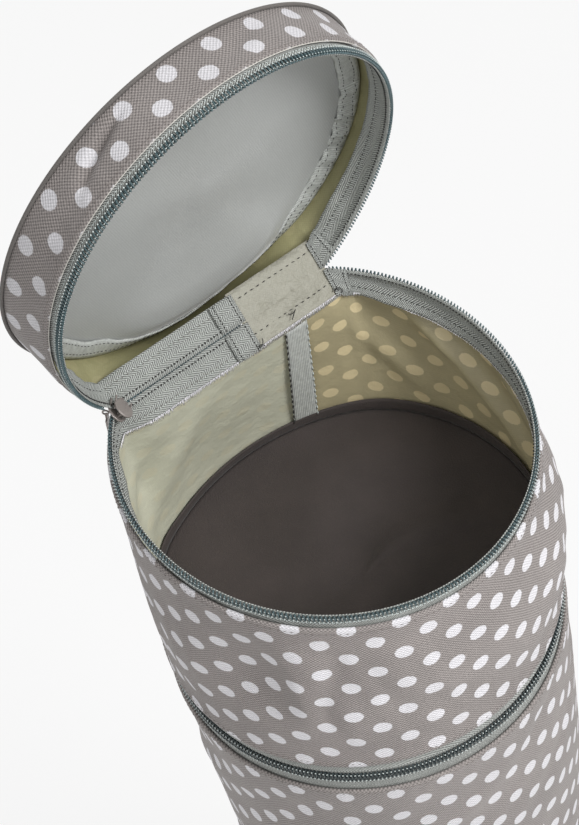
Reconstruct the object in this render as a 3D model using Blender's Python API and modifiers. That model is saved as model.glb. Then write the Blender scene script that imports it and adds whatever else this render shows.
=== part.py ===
"""Gift wrap organizer: a tall round fabric bag in three zipped sections.

A paper tube stands on the floor. A ribbon compartment closes it, and tips back on a fabric hinge panel once
the lower zip is run round. A shallow lid closes the compartment with a zip of its own. It is modelled with
the lower zip closed and the lid open, as soft as the bag stands: the compartment leans back a little, and
its rim is pulled flat along the fold line of the open lid.

Units are metres, +Z is up, +Y is the side of the back seam, and the origin is the middle of the base.
"""

import math
from collections import namedtuple

import bmesh
import bpy
from mathutils import Matrix, Vector

# Body of the bag
TUBE_RADIUS = 0.1115
TUBE_HEIGHT = 0.715  # floor to the chain of the lower zip: room for paper rolls 0.7 m long
COMPARTMENT_HEIGHT = 0.119  # chain of the lower zip to chain of the rim zip
FABRIC = 0.001
GAP = 0.0003  # between neighbouring pieces
LAYER_GAP = 0.0006  # between a zip's tape and the outer fabric sewn over it
BULGE = 0.002  # how far the compartment's wall swells between its zips

# How the soft compartment stands: its rim over the tube's axis, and the rim's own slopes
RIM_SHIFT_X = 0.0028
RIM_SHIFT_Y = 0.0275
RIM_NOD = math.radians(7.03)  # its back stands higher
RIM_ROLL = math.radians(6.54)  # its right side stands lower
RIM_TURN = math.radians(28.5)  # from the back seam to the middle of the fold line
FOLD_PUSH = 0.0285  # how far the open lid pulls the rim in along the fold line

# Lid, whose fabric is stretched longer than the rim
LID_HEIGHT = 0.0385
LID_OPEN = math.radians(83)  # from closed to the way it stands open
LID_NARROWER = 0.0043  # its opening beside the rim, at each side
LID_LONGER_FRONT = 0.0032  # its opening past the rim, at the front
LID_LONGER_BACK = 0.0122  # and behind its widest line
LID_FOLD_SHORTER = 0.0008  # its fold beside the rim's, at each end
LID_TOP_SHIFT = 0.0021  # its round top behind its widest line
LID_SHOULDER = 0.006  # the stretch of its band that the stiff top keeps upright
LID_BOARD = 0.002

# Zips: coil chain on woven tape
TAPE = 0.0008
TAPE_END = 0.017  # chain to the far edge of the tape
COIL = 0.0022
COIL_START = 0.001  # middle of the chain to each half of the coil
COIL_END = 0.0038
STRAIGHT = 0.0055  # the stretch beside the chain that stays square to the zip for its slider
SEAM_START = 0.008  # chain to the folded edge of the outer fabric
PANEL_WIDTH = 0.060  # fabric hinge panel between the two ends of a zip
TAB_WIDTH = 0.013  # patch of tape sewn over each zip end
RIM_STRIP_LEAN = math.radians(49)  # how far the strips beside the fold line lie over
LID_STRIP_LEAN = math.radians(33)
LEAN_REACH = 0.022  # along the fold from the left corner to where the strip lies over fully
TAB_LEAN_REACH = 0.014  # the same from the right corner round the rim

# Zip sliders and their pulls
SLIDER_LENGTH = 0.0125
SLIDER_WIDTH = 0.0096
SLIDER_PLATE = 0.0012
SLIDER_CLEARANCE = 0.00095  # coil to plate, which lets the slider lean on its zip
SLIDER_LEAN = math.radians(12)
SLIDER_RUNOUT = 0.001  # end of a slider to the corner or patch that stops it
POST_LENGTH = 0.0026
POST_WIDTH = 0.0008
BRIDGE_LENGTH = 0.0068
WIRE = 0.001
PULL_EYE = 0.0013  # inner radius
PULL_LENGTH = 0.016
PULL_WIDTH = 0.0065
PULL_THICKNESS = 0.0013
PULL_HANG = math.radians(8)  # how far the rim's pull hangs out from the slope of the rim
LID_COIL_CUT = 0.0095  # the lid's coil past the parked slider starts this far from the corner

# Trim, linings and boards
PIPING = 0.0018
LID_PIPING = 0.0013
BINDING = 0.0008
BINDING_HEIGHT = 0.008
LID_BINDING_WIDTH = 0.0085
SEAM_TAPE_WIDTH = 0.021
LINING = 0.0008
BASE_BOARD = 0.0025
FLOOR_RISE = 0.0205  # chain of the lower zip to the edge of the compartment's floor
FLOOR_SAG = 0.009

# How finely the round pieces are divided
ARC_STEPS = 44
PANEL_STEPS = 5
RUN_STEPS = 7
PIPING_BEVEL = 1
DISC_STEPS = 64
WALL_SHARES = (0, 0.16, 0.34, 0.52, 0.7, 0.86, 1)
SEAM_SHARES = (0.18, 0.34, 0.52, 0.7, 0.86, 0.975)
SAG_SHARES = (0.72, 0.4)

CHAIN_RADIUS = TUBE_RADIUS - FABRIC - LAYER_GAP - TAPE / 2
WALL_OFFSET = TAPE / 2 + LAYER_GAP + FABRIC / 2  # middle of the tape to the middle of the outer fabric
TAB_OFFSET = -(COIL / 2 + GAP + TAPE / 2)
FLOOR_OFFSET = WALL_OFFSET - FABRIC / 2 - GAP
HINGE_Y = TUBE_RADIUS - FABRIC / 2
FOLD_DISTANCE = CHAIN_RADIUS - FOLD_PUSH
HALF_FOLD = math.sqrt(CHAIN_RADIUS**2 - FOLD_DISTANCE**2)
CORNER_ANGLE = math.asin(FOLD_DISTANCE / CHAIN_RADIUS)
ARC_STEP = (math.pi + 2 * CORNER_ANGLE) / ARC_STEPS
LID_HALF_WIDTH = CHAIN_RADIUS - LID_NARROWER
LID_FRONT = CHAIN_RADIUS + LID_LONGER_FRONT  # widest line of its opening to its front
LID_BACK = FOLD_DISTANCE + LID_LONGER_BACK  # and to its fold
LID_HALF_FOLD = HALF_FOLD - LID_FOLD_SHORTER
LID_CENTRE = LID_BACK - LID_TOP_SHIFT  # its fold to the middle of its round top
LID_SLIP = LID_BACK + LID_FRONT - FOLD_DISTANCE - CHAIN_RADIUS
LID_AXIS_RISE = LID_SLIP / 2 / math.tan(LID_OPEN / 2)
PLATE_MIDDLE = COIL / 2 + SLIDER_CLEARANCE + SLIDER_PLATE / 2
BRIDGE_Y = PLATE_MIDDLE + SLIDER_PLATE / 2 + PULL_EYE + WIRE + GAP
PARKING = (SLIDER_LENGTH / 2 + SLIDER_RUNOUT) / CHAIN_RADIUS  # angle from a stop to its slider's middle
UP = Vector((0, 0, 1))
BACK = Vector((0, 1, 0))

# A point of a zip's chain, the way its tape leaves it, the way the tape goes on, and outwards
Station = namedtuple("Station", "point square along out")


def clear_scene():
    for obj in list(bpy.data.objects):
        bpy.data.objects.remove(obj)
    for collection in list(bpy.data.collections):
        bpy.data.collections.remove(collection)


def new_collection(name):
    collection = bpy.data.collections.new(name)
    bpy.context.scene.collection.children.link(collection)
    return collection


def new_material(name, colour, roughness, metallic=0.0):
    material = bpy.data.materials.new(name)
    material.use_nodes = True
    shader = material.node_tree.nodes["Principled BSDF"]
    shader.inputs["Base Color"].default_value = (*colour, 1)
    shader.inputs["Roughness"].default_value = roughness
    shader.inputs["Metallic"].default_value = metallic
    return material


def new_frame(name, location, rotation=(0, 0, 0), order="XYZ", parent=None):
    """An empty that carries pieces, with its origin on the axis that they turn about."""
    frame = bpy.data.objects.new(name, None)
    frame.rotation_mode = order
    frame.location = location
    frame.rotation_euler = rotation
    frame.parent = parent
    bag.objects.link(frame)
    return frame


def add_piece(name, data, parent, material):
    """Links a mesh or curve as one sub-part, with a material of its own."""
    piece = bpy.data.objects.new(name, data)
    piece.parent = parent
    own = material.copy()
    own.name = name
    data.materials.append(own)
    bag.objects.link(piece)
    return piece


def new_mesh(name, shape):
    mesh = bpy.data.meshes.new(name)
    shape.to_mesh(mesh)
    shape.free()
    return mesh


# Cloth, tape and coil: shells through rows of points

def loft(name, rows, parent, material, thickness, closed=False, middle=None):
    """A shell through rows of points, round a ring or along a strip, closed by a middle point if given."""
    shape = bmesh.new()
    grid = [[shape.verts.new(point) for point in row] for row in rows]
    count = len(grid[0])
    for lower, upper in zip(grid, grid[1:]):
        for i in range(count if closed else count - 1):
            after = (i + 1) % count
            shape.faces.new((lower[i], lower[after], upper[after], upper[i]))
    if middle is not None:
        centre = shape.verts.new(middle)
        for i in range(count):
            shape.faces.new((grid[-1][i], grid[-1][(i + 1) % count], centre))
    mesh = new_mesh(name, shape)
    mesh.shade_smooth()
    piece = add_piece(name, mesh, parent, material)
    shell = piece.modifiers.new("Thickness", "SOLIDIFY")
    shell.thickness = thickness
    shell.offset = 0
    shell.use_even_offset = True
    return piece


def at(station, distance, offset=0.0):
    """The point this far from the chain along the tape, moved outwards by an offset."""
    near = min(distance, STRAIGHT)
    return station.point + station.square * near + station.along * (distance - near) + station.out * offset


def strip(name, path, start, end, parent, material, thickness, offset=0.0, closed=False):
    """A band of tape, coil or fabric beside a zip, from one distance from its chain to another."""
    bends = [bend for bend in (STRAIGHT, SEAM_START, TAPE_END) if start < bend < end]
    rows = [[at(station, distance, offset) for station in path] for distance in [start, *bends, end]]
    return loft(name, rows, parent, material, thickness, closed)


def between(first, second, share):
    """The station between two others."""
    point = first.point.lerp(second.point, share)
    directions = [a.lerp(b, share).normalized() for a, b in zip(first[1:], second[1:])]
    return Station(point, *directions)


def shortened(path, length):
    """A path without a length of its start."""
    path = list(path)
    while length > 0:
        step = (path[1].point - path[0].point).length
        if step > length:
            path[0] = between(path[0], path[1], length / step)
        else:
            path.pop(0)
        length -= step
    return path


def cut(path, start, end):
    return shortened(shortened(path, start)[::-1], end)[::-1]


def carried(ring, matrix):
    """Stations moved into another frame."""
    turn = matrix.to_3x3()
    return [Station(matrix @ s.point, turn @ s.square, turn @ s.along, turn @ s.out) for s in ring]


def stations(points, targets, square, lean=0.0):
    """Stations of a zip whose tape leaves the chain square and goes on to its targets, lying over at the fold."""
    middle = sum(points, Vector()) / len(points)
    count = len(points)
    ring = []
    for i, (point, target) in enumerate(zip(points, targets)):
        tangent = (points[(i + 1) % count] - points[i - 1]).normalized()
        share = fold_share(points, i) if lean else 0
        lying = square * math.cos(lean) - BACK * math.sin(lean)
        leaving = square.lerp(lying, share).normalized()
        onward = (target - point - square * STRAIGHT).normalized()
        onward = onward.lerp(lying, share).normalized()
        out = tangent.cross(leaving).normalized()
        out *= 1 if out.dot(point - middle) > 0 else -1
        ring.append(Station(point, leaving, onward, out))
    return ring


def fold_share(points, i):
    """How far the strip lies over: fully along the fold, as little as the slider leans at the left corner."""
    left = (points[i] - points[0]).length
    right = (points[i] - points[ARC_STEPS]).length
    corner = SLIDER_LEAN / RIM_STRIP_LEAN
    if i >= ARC_STEPS or i == 0:
        share = min(left / LEAN_REACH, 1)
        return corner + (1 - corner) * share * share * (3 - 2 * share)
    return max(corner * (1 - left / LEAN_REACH), 1 - right / TAB_LEAN_REACH, 0)


# Outlines. Each starts at the left corner and runs round the front to the right corner, over the hinge
# panel, and along the stretch of the fold where the chain stays closed.

def fold_places():
    """Places of the stations on the fold line, from the right corner to just before the left one."""
    panel = [HALF_FOLD - PANEL_WIDTH * i / PANEL_STEPS for i in range(PANEL_STEPS)]
    zip_start = HALF_FOLD - PANEL_WIDTH
    rest_start = zip_start - TAB_WIDTH
    rest = rest_start + HALF_FOLD
    steps = RUN_STEPS - 1
    return [*panel, zip_start, *(rest_start - rest * i / steps for i in range(steps))]


def rim_outline():
    """The rim's chain line: a circle cut off by the fold line."""
    start = math.pi - CORNER_ANGLE
    angles = [start + ARC_STEP * i for i in range(ARC_STEPS)]
    arc = [Vector((CHAIN_RADIUS * math.cos(a), CHAIN_RADIUS * math.sin(a), 0)) for a in angles]
    return arc + [Vector((x, FOLD_DISTANCE, 0)) for x in fold_places()]


def lower_outline(rim):
    """The lower chain line: a circle with each station under its neighbour on the rim."""
    half_panel = PANEL_WIDTH / 2 / CHAIN_RADIUS
    panel_end = ARC_STEPS + PANEL_STEPS
    order = [*range(panel_end, len(rim)), *range(ARC_STEPS + 1)]
    lengths = [0.0]
    for a, b in zip(order, order[1:]):
        lengths.append(lengths[-1] + (rim[b] - rim[a]).length)
    angles = {}
    for i, length in zip(order, lengths):
        angles[i] = half_panel + (2 * math.pi - 2 * half_panel) * length / lengths[-1]
    for i in range(PANEL_STEPS):
        angles[ARC_STEPS + i] = half_panel * (2 * i / PANEL_STEPS - 1)
    return [
        Vector((-CHAIN_RADIUS * math.sin(angles[i]), CHAIN_RADIUS * math.cos(angles[i]), 0))
        for i in range(len(rim))
    ]


def lid_outline():
    """The lid's chain line, its fold on Y = 0: two half ellipses on one widest line, cut off by the fold."""
    back = LID_BACK / math.sqrt(1 - (LID_HALF_FOLD / LID_HALF_WIDTH) ** 2)
    corner = math.asin(LID_BACK / back)
    outline = []
    for i in range(ARC_STEPS):
        angle = math.pi - corner + (math.pi + 2 * corner) * i / ARC_STEPS
        depth = back if math.sin(angle) > 0 else LID_FRONT
        outline.append(Vector((LID_HALF_WIDTH * math.cos(angle), depth * math.sin(angle) - LID_BACK, 0)))
    share = LID_HALF_FOLD / HALF_FOLD
    return outline + [Vector((x * share, 0, 0)) for x in fold_places()]


def round_ring(outline, centre, radius, z):
    """A circle whose points lie in the same directions from its centre as those of an outline."""
    return [centre + (point - centre).normalized() * radius + UP * z for point in outline]


def zip_path(ring):
    """The stations from the start of the zip, past the left corner, to the right corner."""
    return ring[ARC_STEPS + PANEL_STEPS :] + ring[: ARC_STEPS + 1]


def panel_path(ring):
    return ring[ARC_STEPS : ARC_STEPS + PANEL_STEPS + 1]


# Pieces that both zips have

def zip_ends(prefix, side, ring, parent):
    """One side's hinge panel, and the patches of tape sewn over the two zip ends beside it."""
    panel = cut(panel_path(ring), GAP, GAP)
    strip(f"{prefix}_hinge_panel_{side}", panel, GAP / 2, TAPE_END, parent, LINING_CLOTH, FABRIC)
    path = zip_path(ring)
    for label, patch in (("left", path[:2]), ("right", path[-2:])):
        patch = cut(patch, GAP, GAP)
        name = f"{prefix}_zip_end_tab_{label}_{side}"
        strip(name, patch, COIL_START, TAPE_END, parent, TAPE_CLOTH, TAPE, TAB_OFFSET)


def tape_and_coil(prefix, side, ring, parent):
    path = cut(zip_path(ring), GAP, GAP)
    strip(f"{prefix}_zip_tape_{side}", path, COIL_END + GAP, TAPE_END, parent, TAPE_CLOTH, TAPE)
    strip(f"{prefix}_zip_coil_{side}", path, COIL_START, COIL_END, parent, COIL_NYLON, COIL)


def disc(name, radius, low, high, centre, parent, material):
    """A round panel or board between two heights."""
    shape = bmesh.new()
    bmesh.ops.create_cone(
        shape, cap_ends=True, segments=DISC_STEPS, radius1=radius, radius2=radius, depth=high - low
    )
    bmesh.ops.translate(shape, vec=centre + UP * (low + high) / 2, verts=shape.verts)
    return add_piece(name, new_mesh(name, shape), parent, material)


def piping(name, ring, radius, parent):
    """A cord sewn round an edge."""
    curve = bpy.data.curves.new(name, "CURVE")
    curve.dimensions = "3D"
    curve.bevel_depth = radius
    curve.bevel_resolution = PIPING_BEVEL
    spline = curve.splines.new("POLY")
    spline.points.add(len(ring) - 1)
    for spot, point in zip(spline.points, ring):
        spot.co = (*point, 1)
    spline.use_cyclic_u = True
    return add_piece(name, curve, parent, PIPING_CLOTH)


# Sliders and pulls

def box(size, centre):
    shape = bmesh.new()
    bmesh.ops.create_cube(shape, size=1)
    bmesh.ops.scale(shape, vec=size, verts=shape.verts)
    bmesh.ops.translate(shape, vec=centre, verts=shape.verts)
    return shape


def slider_plate(y):
    """An oval plate of a slider, square to Y."""
    shape = bmesh.new()
    bmesh.ops.create_cone(shape, cap_ends=True, segments=20, radius1=1 / 2, radius2=1 / 2, depth=1)
    bmesh.ops.rotate(shape, verts=shape.verts, matrix=Matrix.Rotation(math.pi / 2, 3, "X"))
    bmesh.ops.scale(shape, vec=(SLIDER_LENGTH, SLIDER_PLATE, SLIDER_WIDTH), verts=shape.verts)
    bmesh.ops.translate(shape, vec=(0, y, 0), verts=shape.verts)
    return shape


def join(piece, label, shape):
    """Unites a piece with one more shape, which stays as a hidden helper."""
    name = f"{piece.name}_{label}"
    helper = bpy.data.objects.new(name, new_mesh(name, shape))
    helper.parent = piece
    helper.hide_render = True
    helper.display_type = "WIRE"
    cutters.objects.link(helper)
    union = piece.modifiers.new(label, "BOOLEAN")
    union.operation = "UNION"
    union.object = helper


def slider(name, parent, lean):
    """Two plates either side of the chain, a post between the coil's halves, and a bridge for the pull.

    Its X runs along the zip, its closing end at -X, and its Y points outwards.
    """
    piece = add_piece(name, new_mesh(name, slider_plate(-PLATE_MIDDLE)), parent, METAL)
    piece.location = (CHAIN_RADIUS, 0, 0)
    piece.rotation_euler = (-lean, 0, -math.pi / 2)
    join(piece, "outer_plate", slider_plate(PLATE_MIDDLE))
    post_x = POST_LENGTH - SLIDER_LENGTH / 2
    join(piece, "post", box((POST_LENGTH, 2 * PLATE_MIDDLE, POST_WIDTH), (post_x, 0, 0)))
    leg = BRIDGE_Y - PLATE_MIDDLE
    for label, side in (("front_leg", -1), ("rear_leg", 1)):
        leg_x = side * (BRIDGE_LENGTH - WIRE) / 2
        join(piece, label, box((WIRE, leg, WIRE), (leg_x, PLATE_MIDDLE + leg / 2, 0)))
    join(piece, "bridge", box((BRIDGE_LENGTH, WIRE, WIRE), (0, BRIDGE_Y, 0)))
    return piece


def pull(name, carrier, hang):
    """A wire eye round the slider's bridge, in one with the flat tab that hangs from it."""
    eye_radius = PULL_EYE + WIRE / 2
    eye_drop = PULL_EYE - WIRE / 2 - GAP
    bpy.ops.mesh.primitive_torus_add(
        major_radius=eye_radius, minor_radius=WIRE / 2, major_segments=20, minor_segments=8
    )
    ring = bpy.context.object
    mesh = ring.data
    bpy.data.objects.remove(ring)
    mesh.name = name
    mesh.transform(Matrix.Translation((0, 0, -eye_drop)) @ Matrix.Rotation(math.pi / 2, 4, "Y"))
    piece = add_piece(name, mesh, carrier, METAL)
    piece.location = (0, BRIDGE_Y, 0)
    piece.rotation_euler = (hang, 0, 0)
    tab_top = -eye_drop - eye_radius
    tab = box((PULL_WIDTH, PULL_THICKNESS, PULL_LENGTH), (0, 0, tab_top - PULL_LENGTH / 2))
    join(piece, "tab", tab)
    return piece


# The three sections

def build_tube(points):
    """The paper tube: floor, wall and the lower half of the lower zip."""
    points = [point + UP * TUBE_HEIGHT for point in points]
    ring = stations(points, [point - UP * TUBE_HEIGHT for point in points], -UP)
    wall_bottom = TUBE_HEIGHT - 2 * PIPING - GAP
    binding_bottom = TUBE_HEIGHT - FABRIC - BASE_BOARD - 3 * GAP
    binding_top = binding_bottom - BINDING_HEIGHT
    base_radius = TUBE_RADIUS - FABRIC / 2 - PIPING - 2 * GAP
    board_bottom = FABRIC + GAP
    centre = Vector()
    disc("base_panel", base_radius, 0, FABRIC, centre, None, SPOTTED_CLOTH)
    disc("base_board", base_radius, board_bottom, board_bottom + BASE_BOARD, centre, None, BOARD)
    piping("base_piping", [at(s, TUBE_HEIGHT - PIPING, WALL_OFFSET) for s in ring], PIPING, None)
    strip("base_seam_binding", ring, binding_top, binding_bottom, None, TAPE_CLOTH, BINDING, closed=True)
    strip("tube_wall", ring, SEAM_START, wall_bottom, None, SPOTTED_CLOTH, FABRIC, WALL_OFFSET, closed=True)
    rest = (PANEL_WIDTH - SEAM_TAPE_WIDTH) / 2
    seam = cut(panel_path(ring), rest, rest)
    strip("tube_seam_binding", seam, TAPE_END + GAP, binding_top - GAP, None, TAPE_CLOTH, BINDING)
    tape_and_coil("lower", "tube", ring, None)
    zip_ends("lower", "tube", ring, None)


def wall_row(lower, upper, share, inwards=0.0):
    """A row of the compartment's wall, a share of the way up between its two zip tapes."""
    swell = WALL_OFFSET - inwards + BULGE * math.sin(math.pi * share)
    return [at(a, TAPE_END, swell).lerp(at(b, TAPE_END, swell), share) for a, b in zip(lower, upper)]


def build_compartment(lower, rim, hinge, rim_frame):
    """The ribbon compartment: wall, floor, the upper half of the lower zip and the lower half of the rim's."""
    upper = carried(rim, rim_frame.matrix_basis)
    wall = [[at(s, SEAM_START, WALL_OFFSET) for s in upper]]
    wall += [wall_row(lower, upper, share) for share in reversed(WALL_SHARES)]
    wall += [[at(s, SEAM_START, WALL_OFFSET) for s in lower]]
    loft("compartment_wall", wall, hinge, SPOTTED_CLOTH, FABRIC, closed=True)
    rest = (PANEL_WIDTH - SEAM_TAPE_WIDTH) / 2
    seam_lower = cut(panel_path(lower), rest, rest)
    seam_upper = cut(panel_path(upper), rest, rest)
    seam = [wall_row(seam_lower, seam_upper, share, WALL_OFFSET + 2 * GAP) for share in SEAM_SHARES]
    loft("compartment_seam_binding", seam, hinge, TAPE_CLOTH, BINDING)

    edge = [at(s, FLOOR_RISE, FLOOR_OFFSET) for s in lower]
    middle = sum(edge, Vector()) / len(edge)
    floor = [edge]
    for share in SAG_SHARES:
        floor.append([middle.lerp(point, share) - UP * FLOOR_SAG * (1 - share) for point in edge])
    loft("compartment_floor", floor, hinge, FLOOR_CLOTH, FABRIC, closed=True, middle=middle - UP * FLOOR_SAG)
    binding_start = FLOOR_RISE + FABRIC / 2 + 2 * GAP
    binding_end = binding_start + BINDING_HEIGHT
    strip("compartment_floor_binding", lower, binding_start, binding_end, hinge, TAPE_CLOTH, BINDING, closed=True)

    tape_and_coil("lower", "compartment", lower, hinge)
    zip_ends("lower", "compartment", lower, hinge)
    tape_and_coil("rim", "compartment", rim, rim_frame)
    zip_ends("rim", "compartment", rim, rim_frame)


def build_lid(frame):
    """The lid, modelled closed in the frame of its hinge and carried open by it."""
    fold = Vector((0, LID_SLIP / 2, -LID_AXIS_RISE))
    outline = [point + fold for point in lid_outline()]
    centre = fold - BACK * LID_CENTRE
    band_top = LID_HEIGHT - FABRIC - GAP
    band_radius = TUBE_RADIUS - FABRIC / 2
    shoulder = LID_HEIGHT - LID_SHOULDER
    targets = round_ring(outline, centre, band_radius - WALL_OFFSET, shoulder)
    ring = stations(outline, targets, UP, LID_STRIP_LEAN)
    band = [[at(s, SEAM_START, WALL_OFFSET) for s in ring]]
    band += [round_ring(outline, centre, band_radius, z) for z in (shoulder, band_top)]
    loft("lid_band", band, frame, SPOTTED_CLOTH, FABRIC, closed=True)
    disc("lid_panel", TUBE_RADIUS - GAP, LID_HEIGHT - FABRIC, LID_HEIGHT, centre, frame, SPOTTED_CLOTH)
    cord = round_ring(outline, centre, TUBE_RADIUS + GAP + LID_PIPING, LID_HEIGHT - LID_PIPING)
    piping("lid_piping", cord, LID_PIPING, frame)
    inner = TUBE_RADIUS - FABRIC - 4 * GAP
    board_top = LID_HEIGHT - FABRIC - GAP
    lining_top = board_top - LID_BOARD - GAP
    binding_z = lining_top - LINING - GAP - BINDING / 2
    disc("lid_board", inner, board_top - LID_BOARD, board_top, centre, frame, BOARD)
    disc("lid_lining", inner, lining_top - LINING, lining_top, centre, frame, LINING_CLOTH)
    rings = [round_ring(outline, centre, r, binding_z) for r in (inner, inner - LID_BINDING_WIDTH)]
    loft("lid_seam_binding", rings, frame, TAPE_CLOTH, BINDING, closed=True)

    path = cut(zip_path(ring), GAP, GAP)
    strip("rim_zip_tape_lid", path, COIL_END + GAP, TAPE_END, frame, TAPE_CLOTH, TAPE)
    closed_run = path[:RUN_STEPS]
    open_run = shortened(path[RUN_STEPS:], LID_COIL_CUT)
    strip("rim_zip_coil_lid_closed_run", closed_run, COIL_START, COIL_END, frame, COIL_NYLON, COIL)
    strip("rim_zip_coil_lid_open_run", open_run, COIL_START, COIL_END, frame, COIL_NYLON, COIL)
    zip_ends("rim", "lid", ring, frame)


clear_scene()
bag = new_collection("gift_wrap_organizer")
cutters = new_collection("helpers")
SPOTTED_CLOTH = new_material("spotted_polyester", (0.27, 0.24, 0.22), 0.8)
LINING_CLOTH = new_material("coated_reverse", (0.46, 0.45, 0.36), 0.6)
FLOOR_CLOTH = new_material("dark_lining", (0.07, 0.06, 0.055), 0.7)
TAPE_CLOTH = new_material("zip_tape", (0.21, 0.24, 0.22), 0.75)
PIPING_CLOTH = new_material("piping_cord", (0.12, 0.12, 0.12), 0.7)
COIL_NYLON = new_material("nylon_coil", (0.06, 0.1, 0.1), 0.4)
BOARD = new_material("stiffener_board", (0.3, 0.28, 0.25), 0.9)
METAL = new_material("painted_metal", (0.3, 0.27, 0.26), 0.35, 0.6)

rim_points = rim_outline()
circle = lower_outline(rim_points)
compartment_hinge = new_frame("compartment_hinge", (0, HINGE_Y, TUBE_HEIGHT))
rim_place = (RIM_SHIFT_X, RIM_SHIFT_Y - HINGE_Y, COMPARTMENT_HEIGHT)
rim_slope = (RIM_NOD, RIM_ROLL, RIM_TURN)
rim_frame = new_frame("rim_frame", rim_place, rim_slope, "YXZ", compartment_hinge)
lid_place = (0, FOLD_DISTANCE + LID_SLIP / 2, LID_AXIS_RISE)
lid_hinge = new_frame("lid_hinge", lid_place, (-LID_OPEN, 0, 0), "XYZ", rim_frame)

lower_points = [point - BACK * HINGE_Y for point in circle]
to_rim = rim_frame.matrix_basis.inverted()
rim_targets = [to_rim @ (point + UP * STRAIGHT) for point in lower_points]
rim_ring = stations(rim_points, rim_targets, -UP, RIM_STRIP_LEAN)
strip_ends = [at(s, TAPE_END) for s in carried(rim_ring, rim_frame.matrix_basis)]
lower_ring = stations(lower_points, strip_ends, UP)

build_tube(circle)
build_compartment(lower_ring, rim_ring, compartment_hinge, rim_frame)
build_lid(lid_hinge)

parked = math.pi - CORNER_ANGLE + PARKING
rim_track = new_frame("rim_slider_track", (0, 0, 0), (0, 0, parked), "XYZ", rim_frame)
rim_slider = slider("rim_slider", rim_track, SLIDER_LEAN)
pull("rim_slider_pull", rim_slider, SLIDER_LEAN + PULL_HANG)
tab_start = zip_path(circle)[-2]
closed_end = math.atan2(tab_start.y, tab_start.x) - PARKING
lower_track = new_frame("lower_slider_track", (0, 0, TUBE_HEIGHT), (0, 0, closed_end))
lower_slider = slider("lower_slider", lower_track, 0.0)
pull("lower_slider_pull", lower_slider, 0.0)
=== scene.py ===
"""Dresses the gift wrap organizer: a tall round bag of spotted cloth in three zipped sections.

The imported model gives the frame. Every cloth, tape, coil and trim is modelled here in metres at its own
place, and rides on the body that carries it.
"""

import math
from collections import namedtuple

import bpy
import numpy as np
from mathutils import Euler, Matrix, Vector


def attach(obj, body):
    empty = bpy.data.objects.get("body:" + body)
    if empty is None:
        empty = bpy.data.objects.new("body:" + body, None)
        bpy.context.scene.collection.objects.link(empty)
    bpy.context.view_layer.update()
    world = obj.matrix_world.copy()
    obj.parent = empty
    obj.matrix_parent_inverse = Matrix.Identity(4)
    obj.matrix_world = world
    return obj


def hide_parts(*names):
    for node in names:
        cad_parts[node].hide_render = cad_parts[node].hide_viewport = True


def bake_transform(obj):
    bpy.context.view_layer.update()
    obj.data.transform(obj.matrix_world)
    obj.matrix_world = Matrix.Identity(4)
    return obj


bl_info = {
    "name": "Gift wrap organizer",
    "version": (1, 0, 0),
    "blender": (4, 5, 0),
    "location": "View3D > Sidebar > Organizer",
    "description": "Models the cloth, zips and trim of a gift wrap organizer on its packed frame",
    "category": "Object",
}

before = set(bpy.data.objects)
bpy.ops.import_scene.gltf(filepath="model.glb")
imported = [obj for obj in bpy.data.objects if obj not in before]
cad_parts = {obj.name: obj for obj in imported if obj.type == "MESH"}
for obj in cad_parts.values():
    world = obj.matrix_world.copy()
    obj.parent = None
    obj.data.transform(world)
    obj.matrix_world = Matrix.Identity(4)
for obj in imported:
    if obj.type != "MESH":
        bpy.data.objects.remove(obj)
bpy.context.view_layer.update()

# Body of the bag, as in the solids, in metres
TUBE_RADIUS = 0.1115
TUBE_HEIGHT = 0.715
FABRIC = 0.001
LAYER_GAP = 0.0006
TAPE = 0.0008
CHAIN_RADIUS = TUBE_RADIUS - FABRIC - LAYER_GAP - TAPE / 2

# How the soft compartment stands: its rim is shifted, tilted and pushed in at the back
COMPARTMENT_HEIGHT = 0.119
RIM_SHIFT_X = 0.0028
RIM_SHIFT_Y = 0.0275
RIM_NOD = math.radians(7.03)
RIM_ROLL = math.radians(6.54)
RIM_TURN = math.radians(28.5)
FOLD_PUSH = 0.0285

# Lid, and how its chain line differs from the rim's
LID_HEIGHT = 0.0385
LID_OPEN = math.radians(83)
LID_NARROWER = 0.0043
LID_LONGER_FRONT = 0.0032
LID_LONGER_BACK = 0.0122
LID_FOLD_SHORTER = 0.0008
LID_TOP_SHIFT = 0.0021
LID_SHOULDER = 0.006

# Zips: their tapes from the chain out, the strips that lie over at the fold, and the sliders. TAB_PRINT is
# how far the weave of the patches over the zip ends is drawn in.
TAPE_END = 0.017
STRAIGHT = 0.0055
SEAM_START = 0.008
PANEL_WIDTH = 0.060
TAB_WIDTH = 0.013
RIM_STRIP_LEAN = math.radians(49)
LID_STRIP_LEAN = math.radians(33)
LEAN_REACH = 0.022
TAB_LEAN_REACH = 0.014
SLIDER_LENGTH = 0.0125
SLIDER_RUNOUT = 0.001
SLIDER_LEAN = math.radians(12)
LID_COIL_CUT = 0.0095
TAB_PRINT = 0.98
LOWER_SLIDER_ANGLE = math.radians(64.11)

# Floor of the compartment, and board and cords of the base and lid
FLOOR_RISE = 0.0205
FLOOR_SAG = 0.009
BASE_BOARD = 0.0025
PIPING = 0.0018
LID_PIPING = 0.0013

# Thickness of the modelled cloths, and of tapes and lining
CLOTH = 0.0008
THIN = 0.0006

# How finely the rings are divided
ARC_STEPS = 220
PANEL_STEPS = 24
RUN_STEPS = 33
PANEL_END = ARC_STEPS + PANEL_STEPS
SEAM = ARC_STEPS + PANEL_STEPS // 2

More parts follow.
